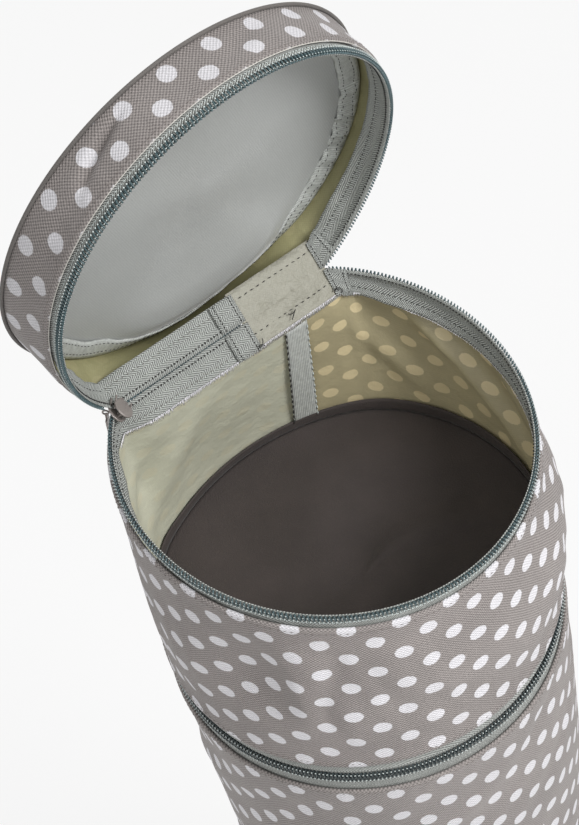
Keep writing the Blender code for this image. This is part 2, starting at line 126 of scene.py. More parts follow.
# What follows from these
FOLD_DISTANCE = CHAIN_RADIUS - FOLD_PUSH
HALF_FOLD = math.sqrt(CHAIN_RADIUS**2 - FOLD_DISTANCE**2)
CORNER_ANGLE = math.asin(FOLD_DISTANCE / CHAIN_RADIUS)
LID_HALF_WIDTH = CHAIN_RADIUS - LID_NARROWER
LID_FRONT = CHAIN_RADIUS + LID_LONGER_FRONT
LID_BACK = FOLD_DISTANCE + LID_LONGER_BACK
LID_HALF_FOLD = HALF_FOLD - LID_FOLD_SHORTER
LID_CENTRE = LID_BACK - LID_TOP_SHIFT
LID_SLIP = LID_BACK + LID_FRONT - FOLD_DISTANCE - CHAIN_RADIUS
LID_AXIS_RISE = LID_SLIP / 2 / math.tan(LID_OPEN / 2)
PARKING = (SLIDER_LENGTH / 2 + SLIDER_RUNOUT) / CHAIN_RADIUS
DISC_RADIUS = TUBE_RADIUS - FABRIC / 2
TAB_STEPS = {
    "left": round(TAB_WIDTH / (2 * HALF_FOLD - PANEL_WIDTH) * RUN_STEPS),
    "right": round(TAB_WIDTH / (CHAIN_RADIUS * (math.pi + 2 * CORNER_ANGLE)) * ARC_STEPS),
}
UP = np.array((0.0, 0.0, 1.0))
BACK = np.array((0.0, 1.0, 0.0))

# Folds in the cloths. Each has its start and end, as shares of the way round and of the height, its width
# and its depth in metres. On the tube and the lid the height is in metres too.
TUBE_FOLDS = (
    ((0.43, 0.012), (0.40, 0.05), 0.006, 0.0022),
    ((0.60, 0.05), (0.68, 0.012), 0.007, 0.0018),
)
LID_FOLDS = (
    ((0.485, 0.021), (0.440, 0.0105), 0.0032, 0.0044),
    ((0.60, 0.018), (0.57, 0.007), 0.0045, 0.0018),
)
COMPARTMENT_FOLDS = (
    ((0.455, 0.93), (0.440, 0.35), 0.006, 0.0022),
    ((0.50, 0.45), (0.56, 0.25), 0.009, 0.0016),
    ((0.885, 0.90), (0.775, 0.22), 0.008, 0.0080),
    ((0.80, 0.85), (0.74, 0.40), 0.008, 0.0050),
    ((0.95, 0.75), (0.90, 0.30), 0.008, 0.0030),
    ((0.10, 0.80), (0.19, 0.25), 0.010, 0.0040),
    ((0.23, 0.90), (0.245, 0.35), 0.008, 0.0035),
    ((0.15, 0.88), (0.20, 0.55), 0.007, 0.0025),
)
# Hollows and swellings of the compartment's wall: place, width and height, and depth
COMPARTMENT_DENTS = (
    ((0.425, 0.55), (0.010, 0.026), -0.0036),
    ((0.385, 0.60), (0.020, 0.024), 0.0070),
    ((0.335, 0.50), (0.016, 0.022), -0.0030),
)

# The zip halves: the zip, the body that carries the half, and its ring
ZIP_HALVES = (
    ("lower", "tube", "tube"),
    ("lower", "compartment", "lower"),
    ("rim", "compartment", "rim"),
    ("rim", "lid", "lid"),
)

# The camera, as fitted to the photograph
CAMERA_PLACE = (-0.0116, -0.574, 1.633)
CAMERA_LENS = 84.9
CAMERA_DOWN = math.radians(52.24)
CAMERA_ROLL = math.radians(-15.4)

Ring = namedtuple("Ring", "point square along out")


def linear(code):
    """The linear colour of an sRGB hex value."""
    shares = [int(code[i : i + 2], 16) / 255 for i in (1, 3, 5)]
    return tuple(s / 12.92 if s <= 0.04045 else ((s + 0.055) / 1.055) ** 2.4 for s in shares)


def length_property(name, description, default):
    return bpy.props.FloatProperty(
        name=name, description=description, default=default, unit="LENGTH", precision=4
    )


class OrganizerSizes(bpy.types.PropertyGroup):
    dot_diameter: length_property("Dot", "Diameter of a printed dot", 0.0092)
    dot_column: length_property("Dot columns", "From one column of dots to the next", 0.013)
    dot_row: length_property("Dot rows", "From dot to dot in a column", 0.026)
    coil_pitch: length_property("Coil pitch", "Length of one turn of a zip's coil", 0.0021)
    stitch: length_property("Stitch", "From one stitch of a seam to the next", 0.0034)
    pucker: length_property("Pucker", "Depth of the puckers beside a seam", 0.0005)
    rim_fold: length_property("Rim fold", "From the rim's chain to the folded cloth", 0.0078)
    tube_fold: length_property("Lower fold", "From the lower chain to the folded cloth", 0.0125)
    lid_fold: length_property("Lid fold", "From the lid's chain to the folded cloth", 0.0072)
    slider_length: length_property("Slider length", "Length of a zip slider's plates", 0.0140)
    slider_width: length_property("Slider width", "Width of a zip slider's plates", 0.0124)


def colour_property(name, description, code):
    return bpy.props.FloatVectorProperty(
        name=name, description=description, default=linear(code), size=3, min=0, max=1, subtype="COLOR"
    )


class OrganizerColours(bpy.types.PropertyGroup):
    cloth: colour_property("Cloth", "Outer cloth", "#938C89")
    dots: colour_property("Dots", "Printed dots", "#ECEAEE")
    reverse: colour_property("Reverse", "Coated reverse, left of the back seam", "#CCCCB8")
    # Painted shade: the darker olive right of the back seam stands for the shade on that inner wall.
    reverse_right_painted_shade: colour_property("Reverse, right", "Coated reverse, right of the back seam", "#AEA484")
    # Painted shade: a darker olive for the coated reverse inside the lid's band, standing for the shade
    # inside the lid.
    reverse_lid: colour_property("Reverse in the lid", "Coated reverse inside the lid's band", "#99956F")
    reverse_dots: colour_property("Reverse dots", "Dots seen through the reverse", "#DFCFA6")
    tape: colour_property("Tape", "Zip tape", "#A6A9A5")
    binding: colour_property("Binding", "Ribbed binding", "#BABDB9")
    panel: colour_property("Hinge panel", "Reverse of the hinge panels", "#A3A194")
    coil: colour_property("Coil", "Nylon coil of the zips", "#4A5F63")
    piping: colour_property("Piping", "Cord round the edges", "#5A5653")
    lining: colour_property("Lining", "Lining of the lid", "#AFB1AF")
    floor: colour_property("Compartment floor", "Dark cloth of the floor", "#3A3331")
    board: colour_property("Board", "Stiffener sheet", "#A09A90")
    metal: colour_property("Sliders", "Painted sliders and pulls", "#908884")
    thread: colour_property("Thread", "Dark sewing thread", "#2E2D2B")
    seam_thread: colour_property("Edge thread", "Thread of the edges outside", "#756D69")
    # Painted highlight: this colour is for the pale strand along the folded hems of the rim and lid, which
    # stands for light caught on the fold rather than cracked coating.
    worn: colour_property("Worn edges", "Cracked coating along folded hems", "#C9C6BF")
    # This pale colour is also drawn as a painted highlight on the heads of the open coils.
    pale_thread: colour_property("Coil thread", "Pale thread over the coils", "#C8D0CE")


def sizes():
    return bpy.context.scene.organizer_sizes


def colours():
    return bpy.context.scene.organizer_colours


# Rings of a zip: points of its chain, the ways its tape leaves it and goes on, and outwards

def unit(vectors):
    """Vectors of length one in the same directions."""
    return vectors / np.linalg.norm(vectors, axis=-1, keepdims=True)


def softened(vectors, passes=6):
    """Directions round a ring, eased over its corners."""
    for _ in range(passes):
        vectors = vectors * 2 + np.roll(vectors, 1, axis=0) + np.roll(vectors, -1, axis=0)
        vectors = unit(vectors)
    return vectors


def spread(value, like):
    """A value, or one value for each station, as a column beside a row of points."""
    return np.broadcast_to(np.asarray(value, float), (len(like),))[:, None]


def at(ring, distance, offset=0.0):
    """Points this far from the chain along the tape, moved outwards by an offset."""
    distance = spread(distance, ring.point)
    near = np.minimum(distance, STRAIGHT)
    beyond = distance - near
    return ring.point + ring.square * near + ring.along * beyond + ring.out * spread(offset, ring.point)


def part_of(ring, start, end):
    """The stretch of a closed ring between two indices."""
    index = np.arange(start, end + 1) % len(ring.point)
    return Ring(*(field[index] for field in ring))


def carried(ring, matrix):
    """A ring moved with its directions."""
    m = np.array(matrix)
    return Ring(ring.point @ m[:3, :3].T + m[:3, 3], *(field @ m[:3, :3].T for field in ring[1:]))


def moved(points, matrix):
    m = np.array(matrix)
    return points @ m[:3, :3].T + m[:3, 3]


def fold_share(points):
    """How far the strip lies over at each station of the ring."""
    left = np.linalg.norm(points - points[0], axis=1)
    right = np.linalg.norm(points - points[ARC_STEPS], axis=1)
    corner = SLIDER_LEAN / RIM_STRIP_LEAN
    eased = np.minimum(left / LEAN_REACH, 1)
    fold = corner + (1 - corner) * eased * eased * (3 - 2 * eased)
    arc = np.maximum(np.maximum(corner * (1 - left / LEAN_REACH), 1 - right / TAB_LEAN_REACH), 0)
    index = np.arange(len(points))
    return np.where((index >= ARC_STEPS) | (index == 0), fold, arc)[:, None]


def stations(points, targets, square, lean=0.0):
    """The ring of a zip whose tape leaves the chain square and goes on to its targets."""
    tangent = unit(np.roll(points, -1, axis=0) - np.roll(points, 1, axis=0))
    share = fold_share(points) if lean else 0.0
    lying = square * math.cos(lean) - BACK * math.sin(lean)
    leaving = softened(unit(square * (1 - share) + lying * share + np.zeros_like(points)))
    onward = unit(targets - points - square * STRAIGHT)
    onward = softened(unit(onward * (1 - share) + lying * share))
    out = unit(np.cross(tangent, leaving))
    outwards = np.sum(out * (points - points.mean(axis=0)), axis=1) > 0
    out = softened(np.where(outwards[:, None], out, -out))
    return Ring(points, leaving, onward, out)


def fold_places():
    """Where the stations of the panel and of the closed run lie along the fold."""
    panel = HALF_FOLD - PANEL_WIDTH * np.arange(PANEL_STEPS) / PANEL_STEPS
    run_start = HALF_FOLD - PANEL_WIDTH
    run = run_start - (run_start + HALF_FOLD) * np.arange(RUN_STEPS) / RUN_STEPS
    return np.concatenate([panel, run])


def flat(x, y):
    return np.stack([x, np.broadcast_to(y, np.shape(x)), np.zeros(np.shape(x))], axis=1)


def rim_outline():
    """The rim's chain line: left corner, round the front, right corner, hinge panel, closed run."""
    angles = math.pi - CORNER_ANGLE + (math.pi + 2 * CORNER_ANGLE) * np.arange(ARC_STEPS) / ARC_STEPS
    arc = flat(CHAIN_RADIUS * np.cos(angles), CHAIN_RADIUS * np.sin(angles))
    return np.concatenate([arc, flat(fold_places(), FOLD_DISTANCE)])


def lower_outline(rim):
    """The lower chain line: a circle with each station under its neighbour on the rim."""
    half_panel = PANEL_WIDTH / 2 / CHAIN_RADIUS
    order = np.concatenate([np.arange(PANEL_END, len(rim)), np.arange(ARC_STEPS + 1)])
    steps = np.linalg.norm(np.diff(rim[order], axis=0), axis=1)
    lengths = np.concatenate([[0], np.cumsum(steps)])
    angles = np.zeros(len(rim))
    angles[order] = half_panel + (2 * math.pi - 2 * half_panel) * lengths / lengths[-1]
    angles[ARC_STEPS:PANEL_END] = half_panel * (2 * np.arange(PANEL_STEPS) / PANEL_STEPS - 1)
    return flat(-CHAIN_RADIUS * np.sin(angles), CHAIN_RADIUS * np.cos(angles))


def lid_outline():
    """The lid's chain line, its fold on Y = 0."""
    back = LID_BACK / math.sqrt(1 - (LID_HALF_FOLD / LID_HALF_WIDTH) ** 2)
    corner = math.asin(LID_BACK / back)
    angles = math.pi - corner + (math.pi + 2 * corner) * np.arange(ARC_STEPS) / ARC_STEPS
    depth = np.where(np.sin(angles) > 0, back, LID_FRONT)
    arc = flat(LID_HALF_WIDTH * np.cos(angles), depth * np.sin(angles) - LID_BACK)
    return np.concatenate([arc, flat(fold_places() * LID_HALF_FOLD / HALF_FOLD, 0.0)])


def round_ring(outline, centre, radius, z):
    """A circle about a centre, each point in the direction of its station on an outline."""
    return centre + unit(outline - centre) * radius + UP * z


RIM_PLACE = Matrix.Translation((RIM_SHIFT_X, RIM_SHIFT_Y, TUBE_HEIGHT + COMPARTMENT_HEIGHT))
RIM_PLACE = RIM_PLACE @ Euler((RIM_NOD, RIM_ROLL, RIM_TURN), "YXZ").to_matrix().to_4x4()
LID_PLACE = RIM_PLACE @ Matrix.Translation((0, FOLD_DISTANCE + LID_SLIP / 2, LID_AXIS_RISE))
LID_PLACE = LID_PLACE @ Matrix.Rotation(-LID_OPEN, 4, "X")
LID_FOLD = np.array((0, LID_SLIP / 2, -LID_AXIS_RISE))
LID_MIDDLE = LID_FOLD - BACK * LID_CENTRE
WALL_OFFSET = TAPE / 2 + LAYER_GAP + FABRIC / 2


def all_rings():
    """Rings of the tube, of both edges of the compartment and of the lid, in place."""
    rim_points = rim_outline()
    lower_points = lower_outline(rim_points) + UP * TUBE_HEIGHT
    to_rim = RIM_PLACE.inverted()
    rim = stations(rim_points, moved(lower_points + UP * STRAIGHT, to_rim), -UP, RIM_STRIP_LEAN)
    rim = carried(rim, RIM_PLACE)
    lower = stations(lower_points, at(rim, TAPE_END), UP)
    tube = stations(lower_points, lower_points - UP * TUBE_HEIGHT, -UP)
    lid_points = lid_outline() + LID_FOLD
    shoulder = round_ring(lid_points, LID_MIDDLE, DISC_RADIUS - WALL_OFFSET, LID_HEIGHT - LID_SHOULDER)
    lid = carried(stations(lid_points, shoulder, UP, LID_STRIP_LEAN), LID_PLACE)
    return {"tube": tube, "lower": lower, "rim": rim, "lid": lid, "lid_points": lid_points}


RINGS = all_rings()


def lengths_along(points, closed=False):
    """Distance along a row of points, with the whole length last if it is closed."""
    if closed:
        points = np.concatenate([points, points[:1]])
    steps = np.linalg.norm(np.diff(points, axis=0), axis=1)
    return np.concatenate([[0], np.cumsum(steps)])


# Meshes

def new_object(name, points, faces, uvs=None, materials=()):
    """A smooth mesh object with its materials, and one UV for each corner of each face."""
    mesh = bpy.data.meshes.new(name)
    mesh.from_pydata([tuple(p) for p in points], [], faces)
    if uvs is not None:
        layer = mesh.uv_layers.new(name="UVMap")
        layer.data.foreach_set("uv", np.asarray(uvs, np.float32).ravel())
    for material in materials:
        mesh.materials.append(material)
    mesh.update()
    mesh.shade_smooth()
    obj = bpy.data.objects.new(name, mesh)
    bpy.context.scene.collection.objects.link(obj)
    return obj


def only(obj):
    """Selects one object alone, in object mode."""
    if bpy.context.object and bpy.context.object.mode != "OBJECT":
        bpy.ops.object.mode_set(mode="OBJECT")
    bpy.ops.object.select_all(action="DESELECT")
    bpy.context.view_layer.objects.active = obj
    obj.select_set(True)


def finished(obj, kind, name, **settings):
    """Adds a modifier with its settings and applies it."""
    only(obj)
    modifier = obj.modifiers.new(name, kind)
    for key, value in settings.items():
        setattr(modifier, key, value)
    bpy.ops.object.modifier_apply(modifier=name)
    return obj


def sewn(obj, body, *nodes):
    """Gives a piece its body and the solids that it stands for."""
    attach(obj, body)
    if nodes:
        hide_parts(*nodes)
    return obj


def thickened(name, points, faces, uvs, thickness, outer, inner):
    """Cloth of a thickness about a surface, with the finishes of its outer and inner sides."""
    materials = (finish(outer), finish(inner or outer))
    obj = new_object(name, points, faces, uvs, materials)
    return finished(obj, "SOLIDIFY", "Thickness", thickness=thickness, offset=0, material_offset=1)


def cloth(
    name, rows, thickness, outer, inner=None, closed=False, u=None, v=None,
    flip=False, scale=(1, 1), start=(0, 0),
):
    """A shell of cloth through rows of points, its UV in metres along the rows and across them."""
    count = len(rows[0])
    wide = count + 1 if closed else count
    if u is None:
        u = lengths_along(rows[len(rows) // 2], closed)
    if closed:
        # A whole number of repeats, so that the print runs on over the back seam
        repeat = 2 * sizes().dot_column
        scale = (round(u[-1] * scale[0] / repeat) * repeat / u[-1], scale[1])
    if v is None:
        steps = [np.linalg.norm(b - a, axis=1) for a, b in zip(rows, rows[1:])]
        v = np.concatenate([[np.zeros(count)], np.cumsum(steps, axis=0)])
    else:
        v = [np.full(count, value) for value in v]
    faces = []
    uvs = []
    for j in range(len(rows) - 1):
        for i in range(wide - 1):
            k = (i + 1) % count
            corners = [(j, i, i), (j, k, i + 1), (j + 1, k, i + 1), (j + 1, i, i)]
            if flip:
                corners.reverse()
            faces.append([row * count + column for row, column, _ in corners])
            uvs += [(u[k] * scale[0] + start[0], v[row][i] * scale[1] + start[1]) for row, i, k in corners]
    return thickened(name, np.concatenate(rows), faces, uvs, thickness, outer, inner)


def disc_cloth(name, rows, centre, thickness, outer, inner=None, flip=False):
    """A round piece of cloth through rings and a middle point, its UV flat in metres across it."""
    count = len(rows[0])
    normal = unit(np.cross(rows[0][0] - centre, rows[0][count // 4] - centre))
    east = unit(rows[0][0] - centre)
    north = np.cross(normal, east)
    points = np.concatenate([*rows, centre[None]])
    spot = np.stack([(points - centre) @ east, (points - centre) @ north], axis=1)
    faces = []
    for j in range(len(rows) - 1):
        for i in range(count):
            k = (i + 1) % count
            faces.append([j * count + i, j * count + k, (j + 1) * count + k, (j + 1) * count + i])
    last = (len(rows) - 1) * count
    faces += [[last + i, last + (i + 1) % count, len(points) - 1] for i in range(count)]
    if flip:
        faces = [face[::-1] for face in faces]
    uvs = [spot[k] for face in faces for k in face]
    return thickened(name, points, faces, uvs, thickness, outer, inner)


def strand(name, points, side, normal, radius, sides, maker):
    """A round strand through a row of points, closed at its ends."""
    count = len(points)
    angles = 2 * math.pi * np.arange(sides) / sides
    rings = [points + radius * (side * math.cos(a) + normal * math.sin(a)) for a in angles]
    faces = []
    for j in range(sides):
        k = (j + 1) % sides * count
        faces += [[j * count + i, j * count + i + 1, k + i + 1, k + i] for i in range(count - 1)]
    faces.append([j * count for j in reversed(range(sides))])
    faces.append([j * count + count - 1 for j in range(sides)])
    return new_object(name, np.concatenate(rings), faces, materials=(finish(maker),))


def wire(name, points, radius, maker):
    """A thread or wire through a row of points."""
    side = unit(np.cross(unit(np.gradient(points, axis=0)), (0.31, 0.17, 0.93)))
    normal = np.cross(side, unit(np.gradient(points, axis=0)))
    return strand(name, points, side, normal, radius, 6, maker)


# Soft shapes

def wave(x, seed):
    """A smooth wandering value between about -1 and 1, the same on each run."""
    steps = np.random.default_rng(seed).uniform(0.6, 1.6, 5)
    phases = np.random.default_rng(seed + 50).uniform(0, 2 * math.pi, 5)
    return sum(np.sin(x * s * (k + 1) + p) / (k + 1) for k, (s, p) in enumerate(zip(steps, phases))) / 1.6


def puckers(u, distance, seed, reach=0.013):
    """The ripples that a seam draws into the cloth beside it."""
    depth = sizes().pucker * math.exp(-((distance / reach) ** 2))
    return depth * (wave(u * 520, seed) + 0.6 * wave(u * 1130, seed + 3))


def dent(u, v, u0, v0, width, height, depth, length):
    """A smooth hollow at a place on the cloth, the u direction going round a ring of this length."""
    across = (u - u0 + length / 2) % length - length / 2
    return -depth * np.exp(-((across / width) ** 2) - ((v - v0) / height) ** 2)


def crease(u, v, start, end, width, depth, length):
    """A long fold between two places on the cloth, soft at its ends."""
    du = (u - start[0] + length / 2) % length - length / 2
    dv = v - start[1]
    eu = (end[0] - start[0] + length / 2) % length - length / 2
    ev = end[1] - start[1]
    size = math.hypot(eu, ev)
    t = (du * eu + dv * ev) / size
    d = (du * ev - dv * eu) / size
    fade = 1 / (1 + np.exp(-t / width)) / (1 + np.exp((t - size) / width))
    return -depth * fade * np.exp(-((d / width) ** 2))


def folded(offset, u, v, length, height, folds):
    """The offset of a cloth of this length round and height, with its folds."""
    for start, end, width, depth in folds:
        ends = [(around * length, up * height) for around, up in (start, end)]
        offset = offset + crease(u, v, *ends, width, depth, length)
    return offset


# Materials

def add_node(tree, kind, inputs=(), output=0, **settings):
    """Adds a node with its settings, fills its inputs by values or links, and gives an output."""
    node = tree.nodes.new("ShaderNode" + kind)
    for key, value in settings.items():
        setattr(node, key, value)
    for key, value in inputs.items() if isinstance(inputs, dict) else enumerate(inputs):
        if isinstance(value, bpy.types.NodeSocket):
            tree.links.new(value, node.inputs[key])
        else:
            node.inputs[key].default_value = value
    return node.outputs[output]


def new_material(name, roughness, **uniform):
    """A material with its Principled shader, and its tree."""
    material = bpy.data.materials.new(name)
    material.use_nodes = True
    shader = material.node_tree.nodes["Principled BSDF"]
    shader.inputs["Roughness"].default_value = roughness
    for key, value in uniform.items():
        shader.inputs[key.replace("_", " ")].default_value = value
    return material, material.node_tree, shader


def tone(colour, share):
    """A colour made darker or lighter, as a node takes it."""
    return tuple(c * share for c in colour) + (1,)


def own_metres(tree):
    """The cloth's own UV in metres, as a vector and as its two parts."""
    vector = add_node(tree, "UVMap", uv_map="UVMap")
    parts = add_node(tree, "SeparateXYZ", (vector,)).node
    return vector, parts.outputs["X"], parts.outputs["Y"]


def dots(tree, vector):
    """1 inside the dots of a staggered lattice, 0 outside."""
    across, along = 2 * sizes().dot_column, sizes().dot_row
    nearest = []
    for step in (0.0, 0.5):
        place = vector
        for operation, *values in (
            ("MULTIPLY_ADD", (1 / across, 1 / along, 0), (step, step, 0)),
            ("FRACTION",),
            ("SUBTRACT", (0.5, 0.5, 0)),
            ("MULTIPLY", (across, along, 0)),
        ):
            place = add_node(tree, "VectorMath", (place, *values), operation=operation)
        nearest.append(add_node(tree, "VectorMath", (place,), "Value", operation="LENGTH"))
    distance = add_node(tree, "Math", nearest, operation="MINIMUM")
    # The threads carry the edge of the print by up to half a millimetre
    ragged = add_node(tree, "TexNoise", {"Vector": vector, "Scale": 1300, "Detail": 1}, "Fac")
    distance = add_node(tree, "Math", (ragged, 0.0012, distance), operation="MULTIPLY_ADD")
    radius = sizes().dot_diameter / 2 + 0.0006
    limits = {"From Min": radius - 0.0002, "From Max": radius + 0.0002, "To Min": 1, "To Max": 0}
    return add_node(tree, "MapRange", {"Value": distance, **limits})


def ribs(tree, along, pitch):
    """A level between -1 and 1, over ribs one pitch apart."""
    turns = add_node(tree, "Math", (along, 2 * math.pi / pitch), operation="MULTIPLY")
    return add_node(tree, "Math", (turns,), operation="SINE")


def weave(tree, u, v, pitch):
    """A plain weave: raised grains of yarn in a chequer, one pitch apart."""
    return add_node(tree, "Math", (ribs(tree, u, 2 * pitch), ribs(tree, v, 2 * pitch)), operation="MULTIPLY")


def mottled(tree, vector, base, *layers):
    """A level about 0.5: a pattern and its strength, and noises by their scale, detail and strength."""
    level = add_node(tree, "Math", (base[0], base[1], 0.5), operation="MULTIPLY_ADD")
    for scale, detail, strength in layers:
        noise = add_node(tree, "TexNoise", {"Vector": vector, "Scale": scale, "Detail": detail}, "Fac")
        share = add_node(tree, "Math", (noise, strength, -strength / 2), operation="MULTIPLY_ADD")
        level = add_node(tree, "Math", (level, share), operation="ADD")
    return level


def dyed(tree, shader, level, dark, light):
    """Colours the shader between two tones, and gives the colour for further mixing."""
    colour = add_node(tree, "Mix", {0: level, 6: dark, 7: light}, 2, data_type="RGBA")
    tree.links.new(colour, shader.inputs["Base Color"])
    return colour


def shaded(tree, shader, level, colour, dark, light):
    """Colours the shader between a darker and a lighter share of one colour."""
    return dyed(tree, shader, level, tone(colour, dark), tone(colour, light))


def raised(tree, shader, height, depth, strength):
    """Gives the shader a relief of this depth in metres."""
    bump = add_node(tree, "Bump", {"Strength": strength, "Distance": depth, "Height": height})
    tree.links.new(bump, shader.inputs["Normal"])


def spotted_polyester(name="spotted_polyester", share=1.0):
    """Printed polyester oxford: its matt grains of yarn catch the light singly, drawn 1 mm apart to show."""
    material, tree, shader = new_material(name, 0.68, Sheen_Weight=0.15, Specular_IOR_Level=0.4)
    vector, u, v = own_metres(tree)
    grain = weave(tree, u, v, 0.001)
    level = mottled(tree, vector, (grain, 0.5), (1100, 2, 1.0), (24, 3, 0.4))
    ground = shaded(tree, shader, level, colours().cloth, 0.46 * share, 1.52 * share)
    tones = {6: tone(colours().dots, 0.72 * share), 7: tone(colours().dots, 1.12 * share)}
    printed = add_node(tree, "Mix", {0: level, **tones}, 2, data_type="RGBA")
    dyed(tree, shader, dots(tree, vector), ground, printed)
    raised(tree, shader, grain, 0.0002, 0.8)
    return material


def shaded_lid_polyester():
    # Painted shade: the same spotted cloth at 0.84 of its tones, for the shade on the lid.
    return spotted_polyester("spotted_polyester_of_lid", 0.84)


def coated_reverse(name="coated_reverse", sides=None, dots_lit_through=(0.15, 0.85), creased=0.0025):
    """Acrylic coated reverse of the cloth: a smooth cream skin, darker and more olive towards the right with
    its dots brighter there, as painted shade and painted light shining through the cloth.
    """
    left, right = sides or (colours().reverse, colours().reverse_right_painted_shade)
    material, tree, shader = new_material(name, 0.5, Specular_IOR_Level=0.45)
    vector, u, v = own_metres(tree)
    # Painted shade and painted light: from left to right the reverse goes to the darker right colour and its
    # dots show more, for the shade on that side and the light shining through the cloth.
    side = add_node(tree, "MapRange", {"Value": u, "From Min": 0.2, "From Max": 0.5})
    level = mottled(tree, vector, (weave(tree, u, v, 0.00085), 0.1), (18, 4, 1.0), (700, 2, 0.3))
    dark = add_node(tree, "Mix", {0: side, 6: tone(left, 0.78), 7: tone(right, 0.66)}, 2, data_type="RGBA")
    light = add_node(tree, "Mix", {0: side, 6: tone(left, 1.2), 7: tone(right, 1.32)}, 2, data_type="RGBA")
    ground = dyed(tree, shader, level, dark, light)
    share = add_node(tree, "Math", (side, dots_lit_through[1] - dots_lit_through[0], dots_lit_through[0]), operation="MULTIPLY_ADD")
    faint = add_node(tree, "Math", (dots(tree, vector), share), operation="MULTIPLY")
    dyed(tree, shader, faint, ground, tone(colours().reverse_dots, 1))
    rough = {"Scale": 70, "Detail": 5, "Roughness": 0.65}
    wrinkles = add_node(tree, "TexNoise", {"Vector": vector, **rough}, "Fac")
    raised(tree, shader, wrinkles, creased, 0.4)
    return material


def plain_reverse():
    """The reverse inside the hinge panels, without dots and deeply wrinkled."""
    return coated_reverse("plain_coated_reverse", (colours().panel,) * 2, (0.0, 0.0), 0.012)


def shaded_lid_reverse():
    # Painted shade: the coated reverse in a darker olive with few dots, for the shade inside the lid's band.
    return coated_reverse("coated_reverse_of_lid", (colours().reverse_lid,) * 2, (0.08, 0.08))


def zip_tape():
    """Polyester zip tape: herringbone ribs in stripes 3.2 mm wide, drawn 1.6 mm apart so that they show."""
    material, tree, shader = new_material("zip_tape", 0.75, Sheen_Weight=0.1, Specular_IOR_Level=0.35)
    vector, u, v = own_metres(tree)
    stripe = add_node(tree, "Math", (v, 0.0032), operation="PINGPONG")
    slanted = add_node(tree, "Math", (stripe, 1.3, u), operation="MULTIPLY_ADD")
    rib = ribs(tree, slanted, 0.0016)
    level = mottled(tree, vector, (rib, 0.55), (1300, 2, 1.3), (60, 2, 0.4))
    shaded(tree, shader, level, colours().tape, 0.36, 1.64)
    raised(tree, shader, rib, 0.00025, 0.8)
    return material


def ribbed_binding():
    """Grosgrain binding: the slight gloss of filament yarn on ribs across it, drawn 1.1 mm apart to show."""
    material, tree, shader = new_material("ribbed_binding", 0.55, Specular_IOR_Level=0.45)
    vector, u, _ = own_metres(tree)
    rib = ribs(tree, u, 0.0011)
    level = mottled(tree, vector, (rib, 0.25), (350, 3, 0.9))
    shaded(tree, shader, level, colours().binding, 0.6, 1.5)
    raised(tree, shader, rib, 0.00015, 0.7)
    return material


def speckled(name, roughness, colour, noise, shares, **uniform):
    """A material of one colour, changed by a noise of a scale and detail in the piece's own coordinates."""
    material, tree, shader = new_material(name, roughness, **uniform)
    vector = add_node(tree, "TexCoord", (), "Object")
    speck = add_node(tree, "TexNoise", {"Vector": vector, "Scale": noise[0], "Detail": noise[1]}, "Fac")
    shaded(tree, shader, speck, colour, *shares)
    return material, tree, shader, speck


def nylon_coil(name="nylon_coil", share=1.0):
    """Extruded nylon monofilament: smooth and glossy, so that each turn has a small highlight."""
    shares = (0.6 * share, 1.4 * share)
    return speckled(name, 0.3, colours().coil, (300, 2), shares, Specular_IOR_Level=0.6)[0]


def shaded_closed_coil():
    # Painted shade: the same nylon at 0.4 of its tone, for the shade between the turns of a closed chain.
    return nylon_coil("nylon_coil_closed", 0.4)


def lining_nylon():
    """Calendered nylon lining: thin and even, with a soft sheen and faint ribs 1.2 mm apart."""
    material, tree, shader = new_material("lining_nylon", 0.42, Sheen_Weight=0.3, Sheen_Roughness=0.35)
    vector, _, v = own_metres(tree)
    rib = ribs(tree, v, 0.0012)
    level = mottled(tree, vector, (rib, 0.12), (16, 2, 0.8), (1000, 2, 0.8))
    shaded(tree, shader, level, colours().lining, 0.84, 1.16)
    patch = add_node(tree, "TexNoise", {"Vector": vector, "Scale": 16, "Detail": 2}, "Fac")
    height = add_node(tree, "Math", (rib, 0.03, patch), operation="MULTIPLY_ADD")
    raised(tree, shader, height, 0.0015, 0.35)
    return material


def plain_woven(name, colour, roughness=0.75):
    """Piece dyed plain weave: one colour, its yarn showing as fine matt grains 0.7 mm apart."""
    material, tree, shader = new_material(name, roughness, Sheen_Weight=0.1)
    vector = add_node(tree, "TexCoord", (), "Object")
    cells = add_node(tree, "TexVoronoi", {"Vector": vector, "Scale": 1300}, "Distance")
    level = mottled(tree, vector, (cells, 0.3), (40, 3, 0.8))
    shaded(tree, shader, level, colour, 0.6, 1.5)
    raised(tree, shader, cells, 0.0003, 0.6)
    return material


def dark_floor_cloth():
    return plain_woven("dark_floor_cloth", colours().floor)


def cord_cover():
    return plain_woven("cord_cover", colours().piping, 0.7)


def stiffener_sheet():
    """Extruded polyethylene stiffener: matt, faintly streaked along its extrusion."""
    material, tree, shader = new_material("stiffener_sheet", 0.65)
    vector = add_node(tree, "TexCoord", (), "Object")
    stretched = add_node(tree, "Mapping", {"Vector": vector, "Scale": (400, 20, 400)})
    streak = add_node(tree, "TexNoise", {"Vector": stretched, "Scale": 1, "Detail": 3}, "Fac")
    shaded(tree, shader, streak, colours().board, 0.8, 1.2)
    raised(tree, shader, streak, 0.0002, 0.4)
    return material


def painted_zinc():
    """Die cast zinc under thin satin paint: soft highlights on rounded edges, fine specks in the paint."""
    material, tree, shader, speck = speckled(
        "painted_zinc", 0.36, colours().metal, (1200, 4), (0.8, 1.25),
        Metallic=0.2, Coat_Weight=0.2, Coat_Roughness=0.3,
    )
    worn = add_node(tree, "Math", (speck, 0.25, 0.25), operation="MULTIPLY_ADD")
    tree.links.new(worn, shader.inputs["Roughness"])
    raised(tree, shader, speck, 0.0001, 0.3)
    return material


